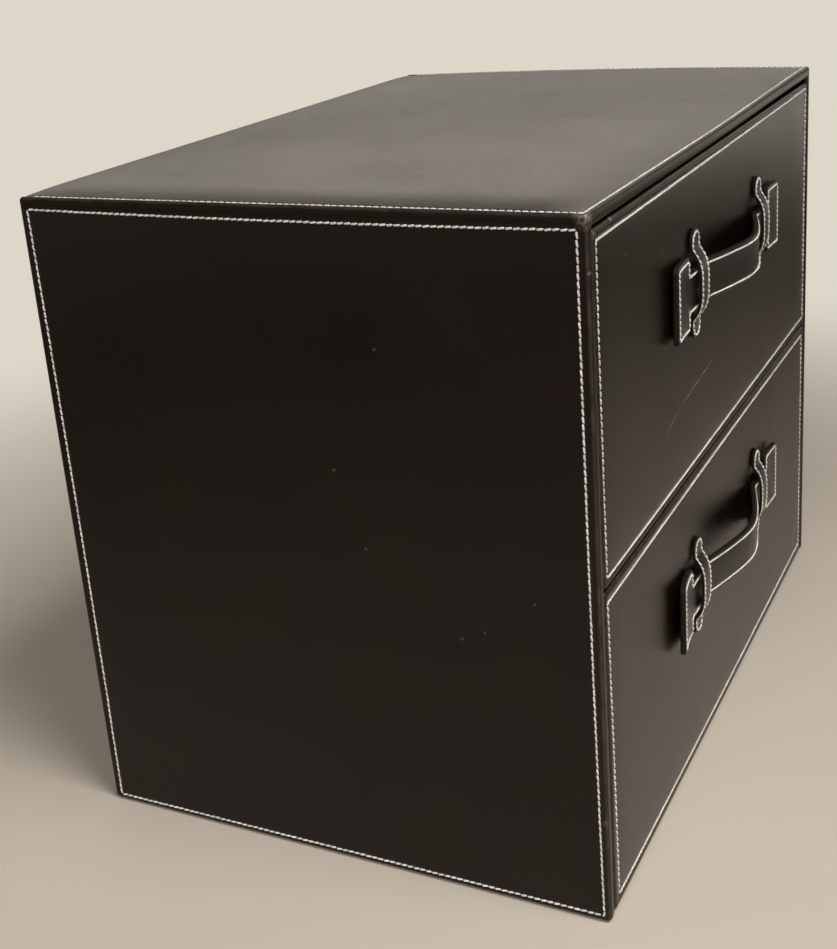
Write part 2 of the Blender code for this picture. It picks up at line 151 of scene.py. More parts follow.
class DESKBOX_PG_handles(bpy.types.PropertyGroup):
    """The strap handles and the keepers that hold them."""

    colour: colour("Colour", "Colour of the straps' faces", (0.0100, 0.0070, 0.0055))
    edge_colour: colour("Edge Colour", "Colour of the painted edges", (0.016, 0.013, 0.011))
    roughness: fraction("Roughness", "Roughness of the straps' faces", 0.30)
    strap_thickness: length("Strap Thickness", "Thickness of a strap", 2.8 * MM)
    strap_height: length("Strap Height", "Height of a strap between its plates", 19 * MM)
    plate_length: length("Plate Length", "Length of a strap's end plate", 22 * MM)
    keeper_thickness: length("Keeper Thickness", "Thickness of a keeper", 1.4 * MM)
    strap_inset: length("Strap Inset", "How far the thread runs inside a strap's edge", 1.8 * MM)
    keeper_inset: length("Keeper Inset", "How far the thread runs inside a keeper's edge", 1.3 * MM)


class DESKBOX_PG_felt(bpy.types.PropertyGroup):
    """The felt that lines the drawers and the cabinet."""

    colour: colour("Colour", "Colour of the felt", (0.026, 0.022, 0.021))
    thickness: length("Thickness", "Thickness of the felt", 0.8 * MM)
    fold_radius: length("Fold Radius", "Radius of the folds in a drawer's corners", 1.6 * MM)
    nap: length("Nap", "Size of the tufts that the fibres make", 1.4 * MM)


class DESKBOX_PG_boards(bpy.types.PropertyGroup):
    """The boards under the covers."""

    fibreboard: colour("Fibreboard", "Colour of the bare boards", (0.230, 0.150, 0.090))
    paper: colour("Paper", "Colour of the paper on the drawer boards", (0.020, 0.018, 0.017))


class DESKBOX_PG_stage(bpy.types.PropertyGroup):
    """The floor and the light, which aren't part of the box."""

    floor: colour("Floor", "Colour of the floor", (0.60, 0.53, 0.455))
    backdrop: colour("Backdrop", "Colour that the floor runs into behind the box", (0.72, 0.68, 0.58))
    fill: brightness("Fill", "Strength of the light from all round", 0.13)
    glow: brightness("Glow", "Strength of the broad light from the back right", 1.95)
    key: power("Key", "Power of the soft lamp", 3.3)
    key_place: location("Key Place", "Where the soft lamp hangs", (-0.40, -1.0, 1.6))
    side: power("Side", "Power of the second lamp", 1.1)
    side_place: location("Side Place", "Where the second lamp hangs", (-1.4, -0.25, 0.9))


class DESKBOX_PG_settings(bpy.types.PropertyGroup):
    """Every setting of the desk box."""

    leatherette: bpy.props.PointerProperty(type=DESKBOX_PG_leatherette)
    sewing: bpy.props.PointerProperty(type=DESKBOX_PG_sewing)
    handles: bpy.props.PointerProperty(type=DESKBOX_PG_handles)
    felt: bpy.props.PointerProperty(type=DESKBOX_PG_felt)
    boards: bpy.props.PointerProperty(type=DESKBOX_PG_boards)
    stage: bpy.props.PointerProperty(type=DESKBOX_PG_stage)


# Modelling steps that several pieces share


def clamped(value):
    """A value held between 0 and 1."""
    return min(1.0, max(0.0, value))


def deselect():
    """Nothing is selected, so that the next operator acts on the new piece alone."""
    bpy.ops.object.select_all(action="DESELECT")


def placed(name, scale):
    """Names the new primitive, scales it, and puts its place into its mesh."""
    piece = bpy.context.object
    piece.name = name
    piece.data.name = name
    piece.scale = scale
    bpy.ops.object.transform_apply(location=True, rotation=True, scale=True)
    return piece


def add_cube(name, low, high):
    """A cube primitive from one corner to the other, with its place in its mesh."""
    deselect()
    bpy.ops.mesh.primitive_cube_add(size=1, location=(Vector(low) + Vector(high)) / 2)
    return placed(name, Vector(high) - Vector(low))


def add_plane(name, across, up):
    """A plane primitive on the floor, facing up, with its size in its mesh."""
    deselect()
    bpy.ops.mesh.primitive_plane_add(size=1)
    return placed(name, (across, up, 1))


def edit(mode="EDIT"):
    """Enters edit mode, or leaves it with mode OBJECT."""
    bpy.ops.object.mode_set(mode=mode)


def choose(kind, test):
    """In edit mode, selects the faces, edges or corners that pass the test, and nothing else."""
    mesh = bpy.context.object.data
    bpy.ops.mesh.select_mode(type=kind)
    bpy.ops.mesh.select_all(action="DESELECT")
    bm = bmesh.from_edit_mesh(mesh)
    bm.normal_update()
    for item in {"FACE": bm.faces, "EDGE": bm.edges, "VERT": bm.verts}[kind]:
        if test(item):
            item.select_set(True)
    bm.select_flush_mode()
    bmesh.update_edit_mesh(mesh)


def convex(edge):
    """Whether an edge is an outward corner."""
    return edge.is_manifold and edge.calc_face_angle_signed() > SHARP


def level_along(edge, axis):
    """Whether both ends of an edge lie at the same place along an axis."""
    return abs(edge.verts[0].co[axis] - edge.verts[1].co[axis]) < TOUCHING


def looks(face, direction):
    """Whether a face looks along a direction."""
    return face.normal.dot(direction) > ALONG_AXIS


def bevel(width, segments, kind="EDGES"):
    """Rounds what is chosen."""
    bpy.ops.mesh.bevel(offset=width, offset_type="OFFSET", segments=segments, profile=0.5, affect=kind)


def extrude(by):
    """Draws what is chosen out by a vector."""
    bpy.ops.mesh.extrude_region_move(TRANSFORM_OT_translate={"value": by})


def cut_out(test):
    """Deletes the faces that pass the test."""
    choose("FACE", test)
    bpy.ops.mesh.delete(type="FACE")


def slice_at(axis, places):
    """Cuts loops through the whole piece, square to an axis, at places along it."""
    normal = [0, 0, 0]
    normal[axis] = 1
    for place in places:
        bpy.ops.mesh.select_all(action="SELECT")
        bpy.ops.mesh.bisect(plane_co=[place * share for share in normal], plane_no=normal)


def between(low, high, step):
    """Places between two values, no further apart than a step, without the ends."""
    count = math.ceil((high - low) / step)
    return [low + (high - low) * index / count for index in range(1, count)]


def slice_evenly(low, high, step, axes):
    """Cuts loops along some axes of a piece, no further apart than a step."""
    for axis in axes:
        slice_at(axis, between(low[axis], high[axis], step))


def thicken(piece, thickness, offset=-1.0):
    """Gives a sheet its thickness, inwards unless the offset says otherwise."""
    bpy.ops.object.modifier_add(type="SOLIDIFY")
    solidify = piece.modifiers[-1]
    solidify.thickness = thickness
    solidify.offset = offset
    solidify.use_even_offset = True
    bpy.ops.object.modifier_apply(modifier=solidify.name)


def smooth():
    """Shades the piece smooth between its sharp corners."""
    bpy.ops.object.shade_smooth_by_angle(angle=SHARP)


def finish_piece(piece, body, slot, *nodes):
    """Rides a finished piece on its body, in place of the nodes. The slot is not used."""
    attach(piece, body)
    if nodes:
        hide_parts(*nodes)


# Panels: a flat wrapped face with a closed row of stitches on it

# Each row's corners as insets from the face's sides in mm, (across, up) from the lowest corner round, and how
# far each of its sides bows inwards. The top's row runs on past the back edge. AT_HIGH_END says which corners
# lie at the face's far side across and up
ROWS = {
    "side": (((3.0, 2.8), (4.0, 2.6), (4.1, 5.8), (4.3, 6.3)), (0.0, 0.85, 0.8, 0.55)),
    "top": (((2.6, 2.5), (2.6, 3.0), (2.6, -5.0), (2.6, -5.0)), (-0.7, 0.0, 0.0, 0.0)),
    "upper": (((3.3, 4.1), (3.3, 4.8), (3.3, 3.2), (2.5, 4.6)), (0.1, 0.0, 0.2, -0.5)),
    "lower": (((6.0, 5.0), (4.7, 6.3), (4.7, 4.9), (2.4, 5.1)), (-0.4, 0.0, -1.1, 0.4)),
}
AT_HIGH_END = ((False, False), (True, False), (True, True), (False, True))

# How finely a bowed side of a row is drawn, and how far its corners are cut, as a share of their radius
ROW_STEPS = 24
CORNER_CUT = 0.3

# Where loops lie beside a row, in widths of the thread's groove, and up its padding, as shares of its reach
GROOVE_LOOPS = (-3.1, -2.2, -1.4, -0.7, 0, 0.7, 1.4, 2.2, 3.1)
PADDING_LOOPS = (0.16, 0.24, 0.34, 0.46, 0.6, 0.78, 1.0)

# A corner of the mesh belongs to a face when its normal follows the face's by this, and it lies on a fully
# rounded edge when its normal falls short of every axis by this
FACING_OUT = 0.2
ROUNDED = 0.25

# The least that a pressed sheet keeps of its thickness before its inner face moves too
THINNEST = 0.1 * MM

# The loose top sheet's crown: how far under the top it begins and how far it takes to rise, where it starts
# from the left and how wide it is, and where along the depth it is highest and how far it reaches from there
CROWN_BELOW, CROWN_RISE = 20 * MM, 16 * MM
CROWN_LEFT, CROWN_WIDTH = -0.02, 0.19
CROWN_MIDDLE, CROWN_REACH = -0.03, 0.16

# How far apart the loops of a wrap or a back sheet lie at most
WRAP_STEP = 14 * MM
BACK_STEP = 12 * MM


def bowed(bow, share):
    """How far a bowed side stands off its straight line, a share of the way along it."""
    return bow * 4 * share * (1 - share)


class Panel:
    """A flat face of a wrapped board, square to one axis, and the four-sided row along which its thread runs.

    The sheet is pressed in along the row, and stands up again inside it over a reach, by a puff more.
    """

    def __init__(self, outward, low, high, row, press=0.5 * MM, puff=0.0, reach=20 * MM):
        self.outward, self.low, self.high = outward, low, high
        self.press, self.puff, self.reach = press, puff, reach
        self.axis = max(range(3), key=lambda index: abs(outward[index]))
        self.across, self.up = [index for index in range(3) if index != self.axis]
        self.level = (high if outward[self.axis] > 0 else low)[self.axis]
        insets, bows = ROWS[row]
        self.bows = [bow * MM for bow in bows]
        self.corners = []
        for ends, inset in zip(AT_HIGH_END, insets):
            corner = [
                high[axis] - by * MM if at_high else low[axis] + by * MM
                for axis, at_high, by in zip((self.across, self.up), ends, inset)
            ]
            self.corners.append(Vector(corner))

    def point(self, across, up):
        """The place on the face, in the box's frame."""
        place = Vector((0, 0, 0))
        place[self.axis] = self.level
        place[self.across] = across
        place[self.up] = up
        return place

    def sides(self):
        """Each side of the row: its start, the way to its end, the direction inwards and its bow."""
        for index, start in enumerate(self.corners):
            leg = self.corners[(index + 1) % 4] - start
            yield start, leg, Vector((-leg.y, leg.x)).normalized(), self.bows[index]

    def row_points(self, radius, first=0, count=4):
        """The row as a line of points, with its corners rounded, from one side on."""
        points = []
        sides = list(self.sides())
        for index in range(first, first + count):
            start, leg, inward, bow = sides[index % 4]
            trim = radius / leg.length
            for step in range(ROW_STEPS + 1):
                share = trim + (1 - 2 * trim) * step / ROW_STEPS
                points.append(start + leg * share + inward * bowed(bow, share))
            cut = radius * CORNER_CUT
            points.append(start + leg - leg.normalized() * cut + inward * cut)
        return [self.point(*place) for place in points]

    def inside_row(self, place):
        """How far a place lies inside each of the row's four sides."""
        found = []
        flat = Vector((place[self.across], place[self.up]))
        for start, leg, inward, bow in self.sides():
            share = clamped((flat - start).dot(leg) / leg.length_squared)
            found.append((flat - start).dot(inward) - bowed(bow, share))
        return found

    def from_edge(self, place):
        """How far a place lies inside the panel's nearest edge."""
        axes = (self.across, self.up)
        return min(min(place[axis] - self.low[axis], self.high[axis] - place[axis]) for axis in axes)

    def loops(self, settings):
        """Where loops are wanted along each axis: across the groove of every row and up its padding."""
        steps = [settings.groove_width * share for share in GROOVE_LOOPS]
        steps += [self.reach * share for share in PADDING_LOOPS]
        low, high = self.corners[0], self.corners[2]
        places = {}
        for axis, start, end in zip((self.across, self.up), low, high):
            found = [start + step for step in steps] + [end - step for step in steps]
            places[axis] = [place for place in found if self.low[axis] < place < self.high[axis]]
        return places

    def drop(self, place, settings):
        """How far the face is drawn in at a place: by its row, by the thread's groove, and by slow waves."""
        inside = self.inside_row(place)
        outside = max(0.0, -min(inside))
        inset = max(0.0, self.from_edge(place))
        fade = inset / (inset + outside) if inset + outside > 0 else 0.0
        rise = 1.0
        for value in inside:
            rise *= 1 - (1 - clamped(value / self.reach)) ** 2
        bottom, right, top, left = inside
        beyond = math.hypot(max(0.0, -bottom, -top), max(0.0, -left, -right))
        near = beyond or min(inside)
        groove = settings.groove * math.exp(-((near / settings.groove_width) ** 2))
        wave = 0.5 + 0.5 * noise.noise(place / settings.wave_length + self.outward)
        drawn = (self.press * (1 - rise) + groove) * fade**2
        return drawn + settings.wave * wave * rise - self.puff * rise


def cabinet_panels():
    """The left, right and top faces of the cabinet, with their rows."""
    low, high = CABINET_LOW, CABINET_HIGH
    return {
        "left": Panel(LEFTWARD, low, high, "side"),
        "right": Panel(RIGHTWARD, low, high, "side"),
        "top": Panel(UPWARD, low, high, "top", press=0.9 * MM, puff=0.9 * MM, reach=25 * MM),
    }


def front_panel(drawer):
    """A drawer's front face, with its row."""
    return Panel(FORWARD, *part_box(drawer + "_front_cover"), drawer)


def press_panel(piece, panel, settings, outer):
    """Presses a wrapped face in. Its first corners are the sheet's outer face, and the rest its inner one."""
    spare = settings.thickness - THINNEST
    facing = [vert.normal.dot(panel.outward) > FACING_OUT for vert in piece.data.vertices[:outer]]
    for index, faces_out in enumerate(facing):
        vert = piece.data.vertices[index]
        if not faces_out or abs(vert.co[panel.axis] - panel.level) > 2 * settings.thick_radius:
            continue
        drop = panel.drop(vert.co, settings)
        vert.co -= panel.outward * drop
        piece.data.vertices[outer + index].co -= panel.outward * (max(0.0, drop - spare) + min(0.0, drop))


def raise_crown(piece, settings):
    """Lets the loose sheet on the top stand up a little towards its right edge."""
    for vert in piece.data.vertices:
        high = clamped((vert.co.z - TOP_Z + CROWN_BELOW) / CROWN_RISE)
        share = clamped((vert.co.x - CROWN_LEFT) / CROWN_WIDTH)
        along = max(0.0, 1 - ((vert.co.y - CROWN_MIDDLE) / CROWN_REACH) ** 2)
        vert.co.z += settings.crown * high**2 * share * share * (3 - 2 * share) * along


def slice_wrap(low, high, window, panels, settings, digits):
    """Cuts a wrap's loops: even ones, at its window's edges, and where its panels' padding needs them.

    Places that agree to so many digits are cut once.
    """
    cuts = {axis: between(low[axis], high[axis], WRAP_STEP) + edges for axis, edges in window.items()}
    for panel in panels:
        for axis, places in panel.loops(settings).items():
            cuts[axis] += places
    for axis, places in cuts.items():
        slice_at(axis, sorted({round(place, digits) for place in places}))


def hollow(wrap, in_window, panels, settings):
    """Opens a wrap's window, gives the sheet its thickness and presses its panels in."""
    cut_out(in_window)
    edit("OBJECT")
    outer = len(wrap.data.vertices)
    thicken(wrap, settings.thickness)
    for panel in panels:
        press_panel(wrap, panel, settings, outer)


def finish_sheet(sheet, settings, material_name, marks, body, node):
    """Keeps how round each corner of a sheet's mesh is, for its wear and its painted edge highlight, and
    gives the sheet its leatherette.
    """
    rounding = sheet.data.attributes.new("rounding", "FLOAT", "POINT")
    for vert in sheet.data.vertices:
        facing = max(abs(value) for value in vert.normal)
        rounding.data[vert.index].value = min(1.0, (1 - facing) / ROUNDED)
    smooth()
    sheet.data.materials.append(leatherette_material(material_name, settings, marks))
    finish_piece(sheet, body, "leatherette", node)


def wrap_cabinet(settings):
    """The leatherette round the sides and top: an arch of boards drawn out block by block, then hollowed."""
    low, high = CABINET_LOW, CABINET_HIGH
    wrap = add_cube("cabinet_wrap", low, (-BAY_HALF, high.y, BAY_TOP))
    edit()
    choose("FACE", lambda face: looks(face, UPWARD))
    extrude((0, 0, high.z - BAY_TOP))
    choose("FACE", lambda face: looks(face, RIGHTWARD) and face.calc_center_median().z > BAY_TOP)
    extrude((2 * BAY_HALF, 0, 0))
    extrude((high.x - BAY_HALF, 0, 0))
    choose("FACE", lambda face: looks(face, DOWNWARD) and face.calc_center_median().x > BAY_HALF)
    extrude((0, 0, low.z - BAY_TOP))

    def on_top_side(vert):
        return vert.co.z > TOP_Z - TOUCHING and abs(vert.co.x) > high.x - TOUCHING

    choose("EDGE", lambda edge: convex(edge) and all(on_top_side(vert) for vert in edge.verts))
    bevel(settings.thick_radius, segments=6)
    choose("EDGE", convex)
    bevel(settings.edge_radius, segments=5)
    turn = settings.turn_in
    front, back, bottom = low.y + turn, high.y - turn, low.z + turn
    panels = cabinet_panels().values()
    slice_wrap(low, high, {0: [], 1: [front, back], 2: [bottom]}, panels, settings, digits=5)

    def in_window(face):
        middle = face.calc_center_median()
        deep = front < middle.y < back and middle.z > bottom
        return deep and abs(middle.x) < BAY_HALF + TOUCHING and middle.z < BAY_TOP + TOUCHING

    hollow(wrap, in_window, panels, settings)
    raise_crown(wrap, settings)
    finish_sheet(wrap, settings, "cabinet_leatherette", CABINET_MARKS, "cabinet", "outer_cover")


def wrap_drawer_front(drawer, settings):
    """The leatherette round a drawer's front board, turned in behind all its edges."""
    low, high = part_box(drawer + "_front_cover")
    panels = [front_panel(drawer)]
    wrap = add_cube(drawer + "_front_wrap", low, high)
    edit()
    choose("EDGE", convex)
    bevel(settings.edge_radius, segments=5)
    turn = settings.turn_in
    window = {axis: [low[axis] + turn, high[axis] - turn] for axis in (0, 2)}
    slice_wrap(low, high, window, panels, settings, digits=9)

    def in_window(face):
        middle = face.calc_center_median()
        inside = all(start < middle[axis] < end for axis, (start, end) in window.items())
        return inside and looks(face, BACKWARD)

    hollow(wrap, in_window, panels, settings)
    name, marks = drawer + "_front_leatherette", FRONT_MARKS[drawer]
    finish_sheet(wrap, settings, name, marks, drawer + "_drawer", drawer + "_front_cover")


def cover_back(settings):
    """The leatherette sheet glued over the back, with round corners and eased edges."""
    low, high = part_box("back_cover")
    corner_radius, edge_radius, sunk = 6 * MM, 0.3 * MM, 0.3 * MM
    sheet = add_cube("back_sheet", low, high)
    edit()
    choose("EDGE", lambda edge: level_along(edge, 0) and level_along(edge, 2))
    bevel(corner_radius, segments=6)
    choose("EDGE", lambda edge: convex(edge) and all(vert.co.y > high.y - TOUCHING for vert in edge.verts))
    bevel(edge_radius, segments=2)
    slice_evenly(low, high, BACK_STEP, (0, 2))
    edit("OBJECT")
    for vert in sheet.data.vertices:
        if vert.co.y > high.y - TOUCHING:
            vert.co.y -= sunk * (0.5 + 0.5 * noise.noise(vert.co / settings.wave_length))
    finish_sheet(sheet, settings, "back_leatherette", {}, "cabinet", "back_cover")


# Handles: the curves that the straps and keepers are laid along, and the pieces bent to them

# A strap's gap to the front, and its bow: how far out, how wide, and how round at its crown and its ends
STRAP_FIT = 0.3 * MM
BOW = 10.8 * MM
BOW_SPAN = 94 * MM
BOW_CROWN = 6 * MM
BOW_POWER = 1.25
BOW_SOFTNESS = 0.05
# How far the loose ends of each handle's left and right plates stand off
PLATE_LIFTS = {"upper": (1.4 * MM, 0.6 * MM), "lower": (2.8 * MM, 1.0 * MM)}
# A keeper's room over the strap, and its arch: how far it reaches either way, how square and how soft
KEEPER_PLAY = 1.5 * MM
KEEPER_REACH = 15.5 * MM
KEEPER_POWER = 3.5
KEEPER_SOFTNESS = 0.12
# The rounded rims, as radius and segments, and the thread's grooves, as depth and half width
STRAP_RIM, KEEPER_RIM = (0.75 * MM, 3), (0.42 * MM, 2)
STRAP_GROOVE, KEEPER_GROOVE = (0.16 * MM, 0.7 * MM), (0.14 * MM, 0.6 * MM)
# The radius of a plate's corners and of a row's on a strap, and of a keeper's, as shares of its half width
PLATE_CORNER = 2.2 * MM
STRAP_ROW_CORNER = 1.2 * MM
KEEPER_CORNER, KEEPER_ROW_CORNER = 0.92, 0.98
# How far apart the loops along a strap and a keeper lie, and beside each row of thread, in mm
STRAP_STEP, STRAP_BESIDE = 1.5 * MM, (-0.8, 0, 0.8)
KEEPER_STEP, KEEPER_BESIDE = 1.0 * MM, (-0.7, 0, 0.7)
# A face of a flat strap is painted where its normal stands up less than this
FLAT_NORMAL = 0.7
# The step over which a curve's slope is taken
SLOPE_STEP = 0.7 * MM


def on_front(node):
    """Half a handle piece's width and height, and the place on the drawer front behind its middle."""
    low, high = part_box(node)
    middle = Vector(((low.x + high.x) / 2, FRONT_Y, (low.z + high.z) / 2))
    return (high.x - low.x) / 2, (high.z - low.z) / 2, middle


def landed(arch, softness):
    """An arch of height 1 that comes down to 0 and stays there, rounded where it lands."""
    return (arch + math.hypot(arch, softness)) / 2


def strap_height(along, half_length, lifts, settings):
    """How far the strap's middle stands off the drawer front, at a place along the handle."""
    crown = math.hypot(along, BOW_CROWN) - BOW_CROWN
    share = crown / (math.hypot(BOW_SPAN / 2, BOW_CROWN) - BOW_CROWN)
    bow = BOW * landed(1 - share**BOW_POWER, BOW_SOFTNESS)
    plate = settings.plate_length
    out = max(0.0, (abs(along) - half_length + plate) / plate)
    return STRAP_FIT + settings.strap_thickness / 2 + bow + lifts[along > 0] * out**2


def keeper_height(along, settings):
    """How far a keeper's middle stands off the drawer front, at a height along it."""
    arch = 1 - (abs(along) / KEEPER_REACH) ** KEEPER_POWER
    rise = (settings.strap_thickness + KEEPER_PLAY) * landed(arch, KEEPER_SOFTNESS)
    return STRAP_FIT + settings.keeper_thickness / 2 + rise


def corner_arcs(corners, radius, steps=4):
    """The closed outline through the corners, each rounded by an arc."""
    outline = []
    for index, corner in enumerate(corners):
        before = (corners[index - 1] - corner).normalized()
        after = (corners[(index + 1) % len(corners)] - corner).normalized()
        half = before.angle(after) / 2
        centre = corner + (before + after).normalized() * radius / math.sin(half)
        start, end = [corner + way * radius / math.tan(half) - centre for way in (before, after)]
        turn = end.angle_signed(start)
        for step in range(steps + 1):
            outline.append(centre + Matrix.Rotation(turn * step / steps, 2) @ start)
    return outline


def strap_row(half_length, half_height, settings):
    """The outline of the thread's row on a T-ended strap, along and across it."""
    inset = settings.strap_inset
    tip = half_length - inset
    neck = half_length - settings.plate_length + inset
    tall, low = half_height - inset, settings.strap_height / 2 - inset
    quarter = [(tip, tall), (neck, tall), (neck, low)]
    corners = quarter + [(-x, y) for x, y in reversed(quarter)]
    corners += [(-x, -y) for x, y in quarter] + [(x, -y) for x, y in reversed(quarter)]
    return corner_arcs([Vector(corner) for corner in corners], STRAP_ROW_CORNER)


def keeper_row(half_length, half_width, settings):
    """The outline of the thread's row on a keeper, along and across it."""
    tip, side = half_length - settings.keeper_inset, half_width - settings.keeper_inset
    corners = [Vector(corner) for corner in ((tip, side), (-tip, side), (-tip, -side), (tip, -side))]
    return corner_arcs(corners, side * KEEPER_ROW_CORNER, steps=6)


def groove_to(piece, row, top, depth, width):
    """Lays the groove for a row of thread into the top face of a flat strap."""
    dense = along_path([Vector((*point, top)) for point in row], PATH_STEP, True)
    for vert in piece.data.vertices:
        if abs(vert.co.z - top) < TOUCHING:
            near = min((vert.co.xy - point.xy).length for point, _ in dense)
            vert.co.z -= depth * math.exp(-((near / width) ** 2))


def bend_piece(piece, height, upright, middle):
    """Lays a flat strap along a curve off the drawer front. An upright one runs along Z, others along X."""
    step = SLOPE_STEP
    for vert in piece.data.vertices:
        along, across, off = vert.co
        slope = (height(along + step) - height(along - step)) / (2 * step)
        stretch = math.hypot(1, slope)
        moved = along - off * slope / stretch
        out = -height(along) - off / stretch
        vert.co = middle + (Vector((-across, out, moved)) if upright else Vector((moved, out, across)))


def finish_strap(piece, thickness, rim, row, groove, settings):
    """Thickens a flat strap, rounds its rim, lays its thread's groove, and paints its edges."""
    edit("OBJECT")
    thicken(piece, thickness, 0.0)
    edit()
    choose("EDGE", lambda edge: convex(edge) and level_along(edge, 2))
    bevel(*rim)
    edit("OBJECT")
    groove_to(piece, row, thickness / 2, *groove)
    piece.data.materials.append(strap_material(piece.name + "_leather", settings))
    piece.data.materials.append(edge_paint_material(piece.name + "_edge_paint", settings))
    for face in piece.data.polygons:
        face.material_index = int(abs(face.normal.z) < FLAT_NORMAL)


def make_strap(drawer, settings):
    """A T-ended strap: a bar with a plate drawn out at each end, rounded, thickened, sewn and bent."""
    node = drawer + "_handle_strap"
    half_length, half_height, middle = on_front(node)
    neck, bar = half_length - settings.plate_length, settings.strap_height / 2
    strap = add_plane(drawer + "_strap", 2 * neck, 2 * bar)

    def at_end(edge, side, rise):
        return all(
            vert.co.x * side > neck - TOUCHING and vert.co.y * rise > bar * abs(rise) - TOUCHING
            for vert in edge.verts
        )

    edit()
    for side in (-1, 1):
        for rise in (0, -1, 1):
            choose("EDGE", lambda edge: at_end(edge, side, rise))
            extrude((0 if rise else side * settings.plate_length, rise * (half_height - bar), 0))
    bpy.ops.mesh.select_mode(type="FACE")
    bpy.ops.mesh.select_all(action="SELECT")
    bpy.ops.mesh.dissolve_faces()
    tip = half_length - TOUCHING
    choose("VERT", lambda vert: not (abs(vert.co.x) > tip and abs(vert.co.y) < bar + TOUCHING))
    bevel(PLATE_CORNER, 4, kind="VERTICES")
    rows = [half - settings.strap_inset for half in (bar, half_height)]
    beside = [row + offset * MM for row in rows for offset in STRAP_BESIDE]
    slice_at(1, [side * place for side in (-1, 1) for place in beside] + [0])
    slice_at(0, between(-half_length, half_length, STRAP_STEP))
    row = strap_row(half_length, half_height, settings)
    finish_strap(strap, settings.strap_thickness, STRAP_RIM, row, STRAP_GROOVE, settings)
    lifts = PLATE_LIFTS[drawer]
    bend_piece(strap, lambda along: strap_height(along, half_length, lifts, settings), False, middle)
    smooth()
    finish_piece(strap, drawer + "_handle", "strap_leather", node)


def make_keeper(drawer, side, settings):
    """A keeper: a short strap with round ends, bent over the handle's strap."""
    node = f"{drawer}_keeper_{side}"
    half_width, half_length, middle = on_front(node)
    keeper = add_plane(f"{drawer}_{side}_keeper", 2 * half_length, 2 * half_width)
    edit()
    choose("VERT", lambda vert: True)
    bevel(half_width * KEEPER_CORNER, 6, kind="VERTICES")
    row = half_width - settings.keeper_inset
    slice_at(1, [side * (row + offset * MM) for side in (-1, 1) for offset in KEEPER_BESIDE])
    slice_at(0, between(-half_length, half_length, KEEPER_STEP))
    row = keeper_row(half_length, half_width, settings)
    finish_strap(keeper, settings.keeper_thickness, KEEPER_RIM, row, KEEPER_GROOVE, settings)
    bend_piece(keeper, lambda along: keeper_height(along, settings), True, middle)
    smooth()
    finish_piece(keeper, drawer + "_drawer", "strap_leather", node)


# Sewing

# The steps in which a row is followed, how far before a piece its rays start, and where the top's row ends
PATH_STEP = 0.5 * MM
RAY_START = 0.03
TOP_ROW_END = CABINET_HIGH.y - 3 * MM
# The seed of the draws by which stitches differ
SEED = 3
# How far stitches differ by chance, in radians and in mm, and how far they stand proud, in thread widths
SLANT_SPREAD = 0.05
SIDE_SPREAD = 0.06
PROUD = 0.08
# A stitch: where its loops lie, in half lengths, how square its ends are and how flat it is. Its middle rises
# by one share of its width, and its ends sink by the other
THREAD_LOOPS = (-0.86, -0.5, 0.5, 0.86)
THREAD_REACH, THREAD_SQUARENESS = 0.94, 8
THREAD_FLATNESS = 0.85
THREAD_RISE, THREAD_SINK = 0.24, 0.55


def along_path(points, step, closed):
    """Places at equal steps along a path of points, each with the direction that the path takes there."""
    ends = points[1:] + points[:1] if closed else points[1:]
    legs = [(start, end - start) for start, end in zip(points, ends) if (end - start).length > 1e-9]
    total = sum(leg.length for _, leg in legs)
    count = max(1, round(total / step))
    places = []
    passed, index = 0.0, 0
    for turn in range(count):
        wanted = (turn + 0.5) * total / count
        while passed + legs[index][1].length < wanted:
            passed += legs[index][1].length
            index += 1
        start, leg = legs[index]
        places.append((start + leg * (wanted - passed) / leg.length, leg.normalized()))
    return places


def make_thread(stitch_length, width):
    """One stitch: a short twist of thread, arched along X, whose ends sink into the leather."""
    deselect()
    bpy.ops.mesh.primitive_cylinder_add(
        vertices=6, radius=width / 2, depth=stitch_length, rotation=(0, math.pi / 2, 0)
    )
    thread = placed("thread", (1, 1, 1))
    edit()
    half = stitch_length / 2
    slice_at(0, [half * share for share in THREAD_LOOPS])
    edit("OBJECT")
    for vert in thread.data.vertices:
        share = abs(vert.co.x) / half
        full = math.sqrt(max(0.0, 1 - (share * THREAD_REACH) ** THREAD_SQUARENESS))
        vert.co.y *= full
        vert.co.z = vert.co.z * THREAD_FLATNESS * full + width * (THREAD_RISE - THREAD_SINK * share**4)
    smooth()
    thread.data.materials.append(bpy.data.materials["sewing_thread"])
    return thread


def sew(name, target, points, outward, pitch, closed, body, settings, spread):
    """A row of stitches on a piece, along points that lie before its surface."""
    tree = BVHTree.FromObject(bpy.data.objects[target], bpy.context.evaluated_depsgraph_get())

    def seat(point):
        return tree.ray_cast(point + outward * RAY_START, -outward)[:2]

    line = [seat(place)[0] for place, _ in along_path(points, PATH_STEP, closed)]
    thread = make_thread(pitch - settings.bite, settings.width)
    copies = []
    for place, direction in along_path(line, pitch, closed):
        normal = seat(place)[1]
        across = normal.cross(direction).normalized()
        turn = Matrix((direction, across, direction.cross(across))).transposed()
        slant = Matrix.Rotation(settings.slant + spread.uniform(-SLANT_SPREAD, SLANT_SPREAD), 3, "Z")
        copy = thread.copy()
        copy.data = thread.data.copy()
        aside = across * spread.uniform(-SIDE_SPREAD, SIDE_SPREAD) * MM + normal * settings.width * PROUD
        copy.matrix_world = Matrix.Translation(place + aside) @ (turn @ slant).to_4x4()
        bpy.context.collection.objects.link(copy)
        copies.append(copy)
    bpy.data.objects.remove(thread)
    deselect()
    for copy in copies:
        copy.select_set(True)
    bpy.context.view_layer.objects.active = copies[0]
    bpy.ops.object.join()
    finish_piece(placed(name, (1, 1, 1)), body, None)


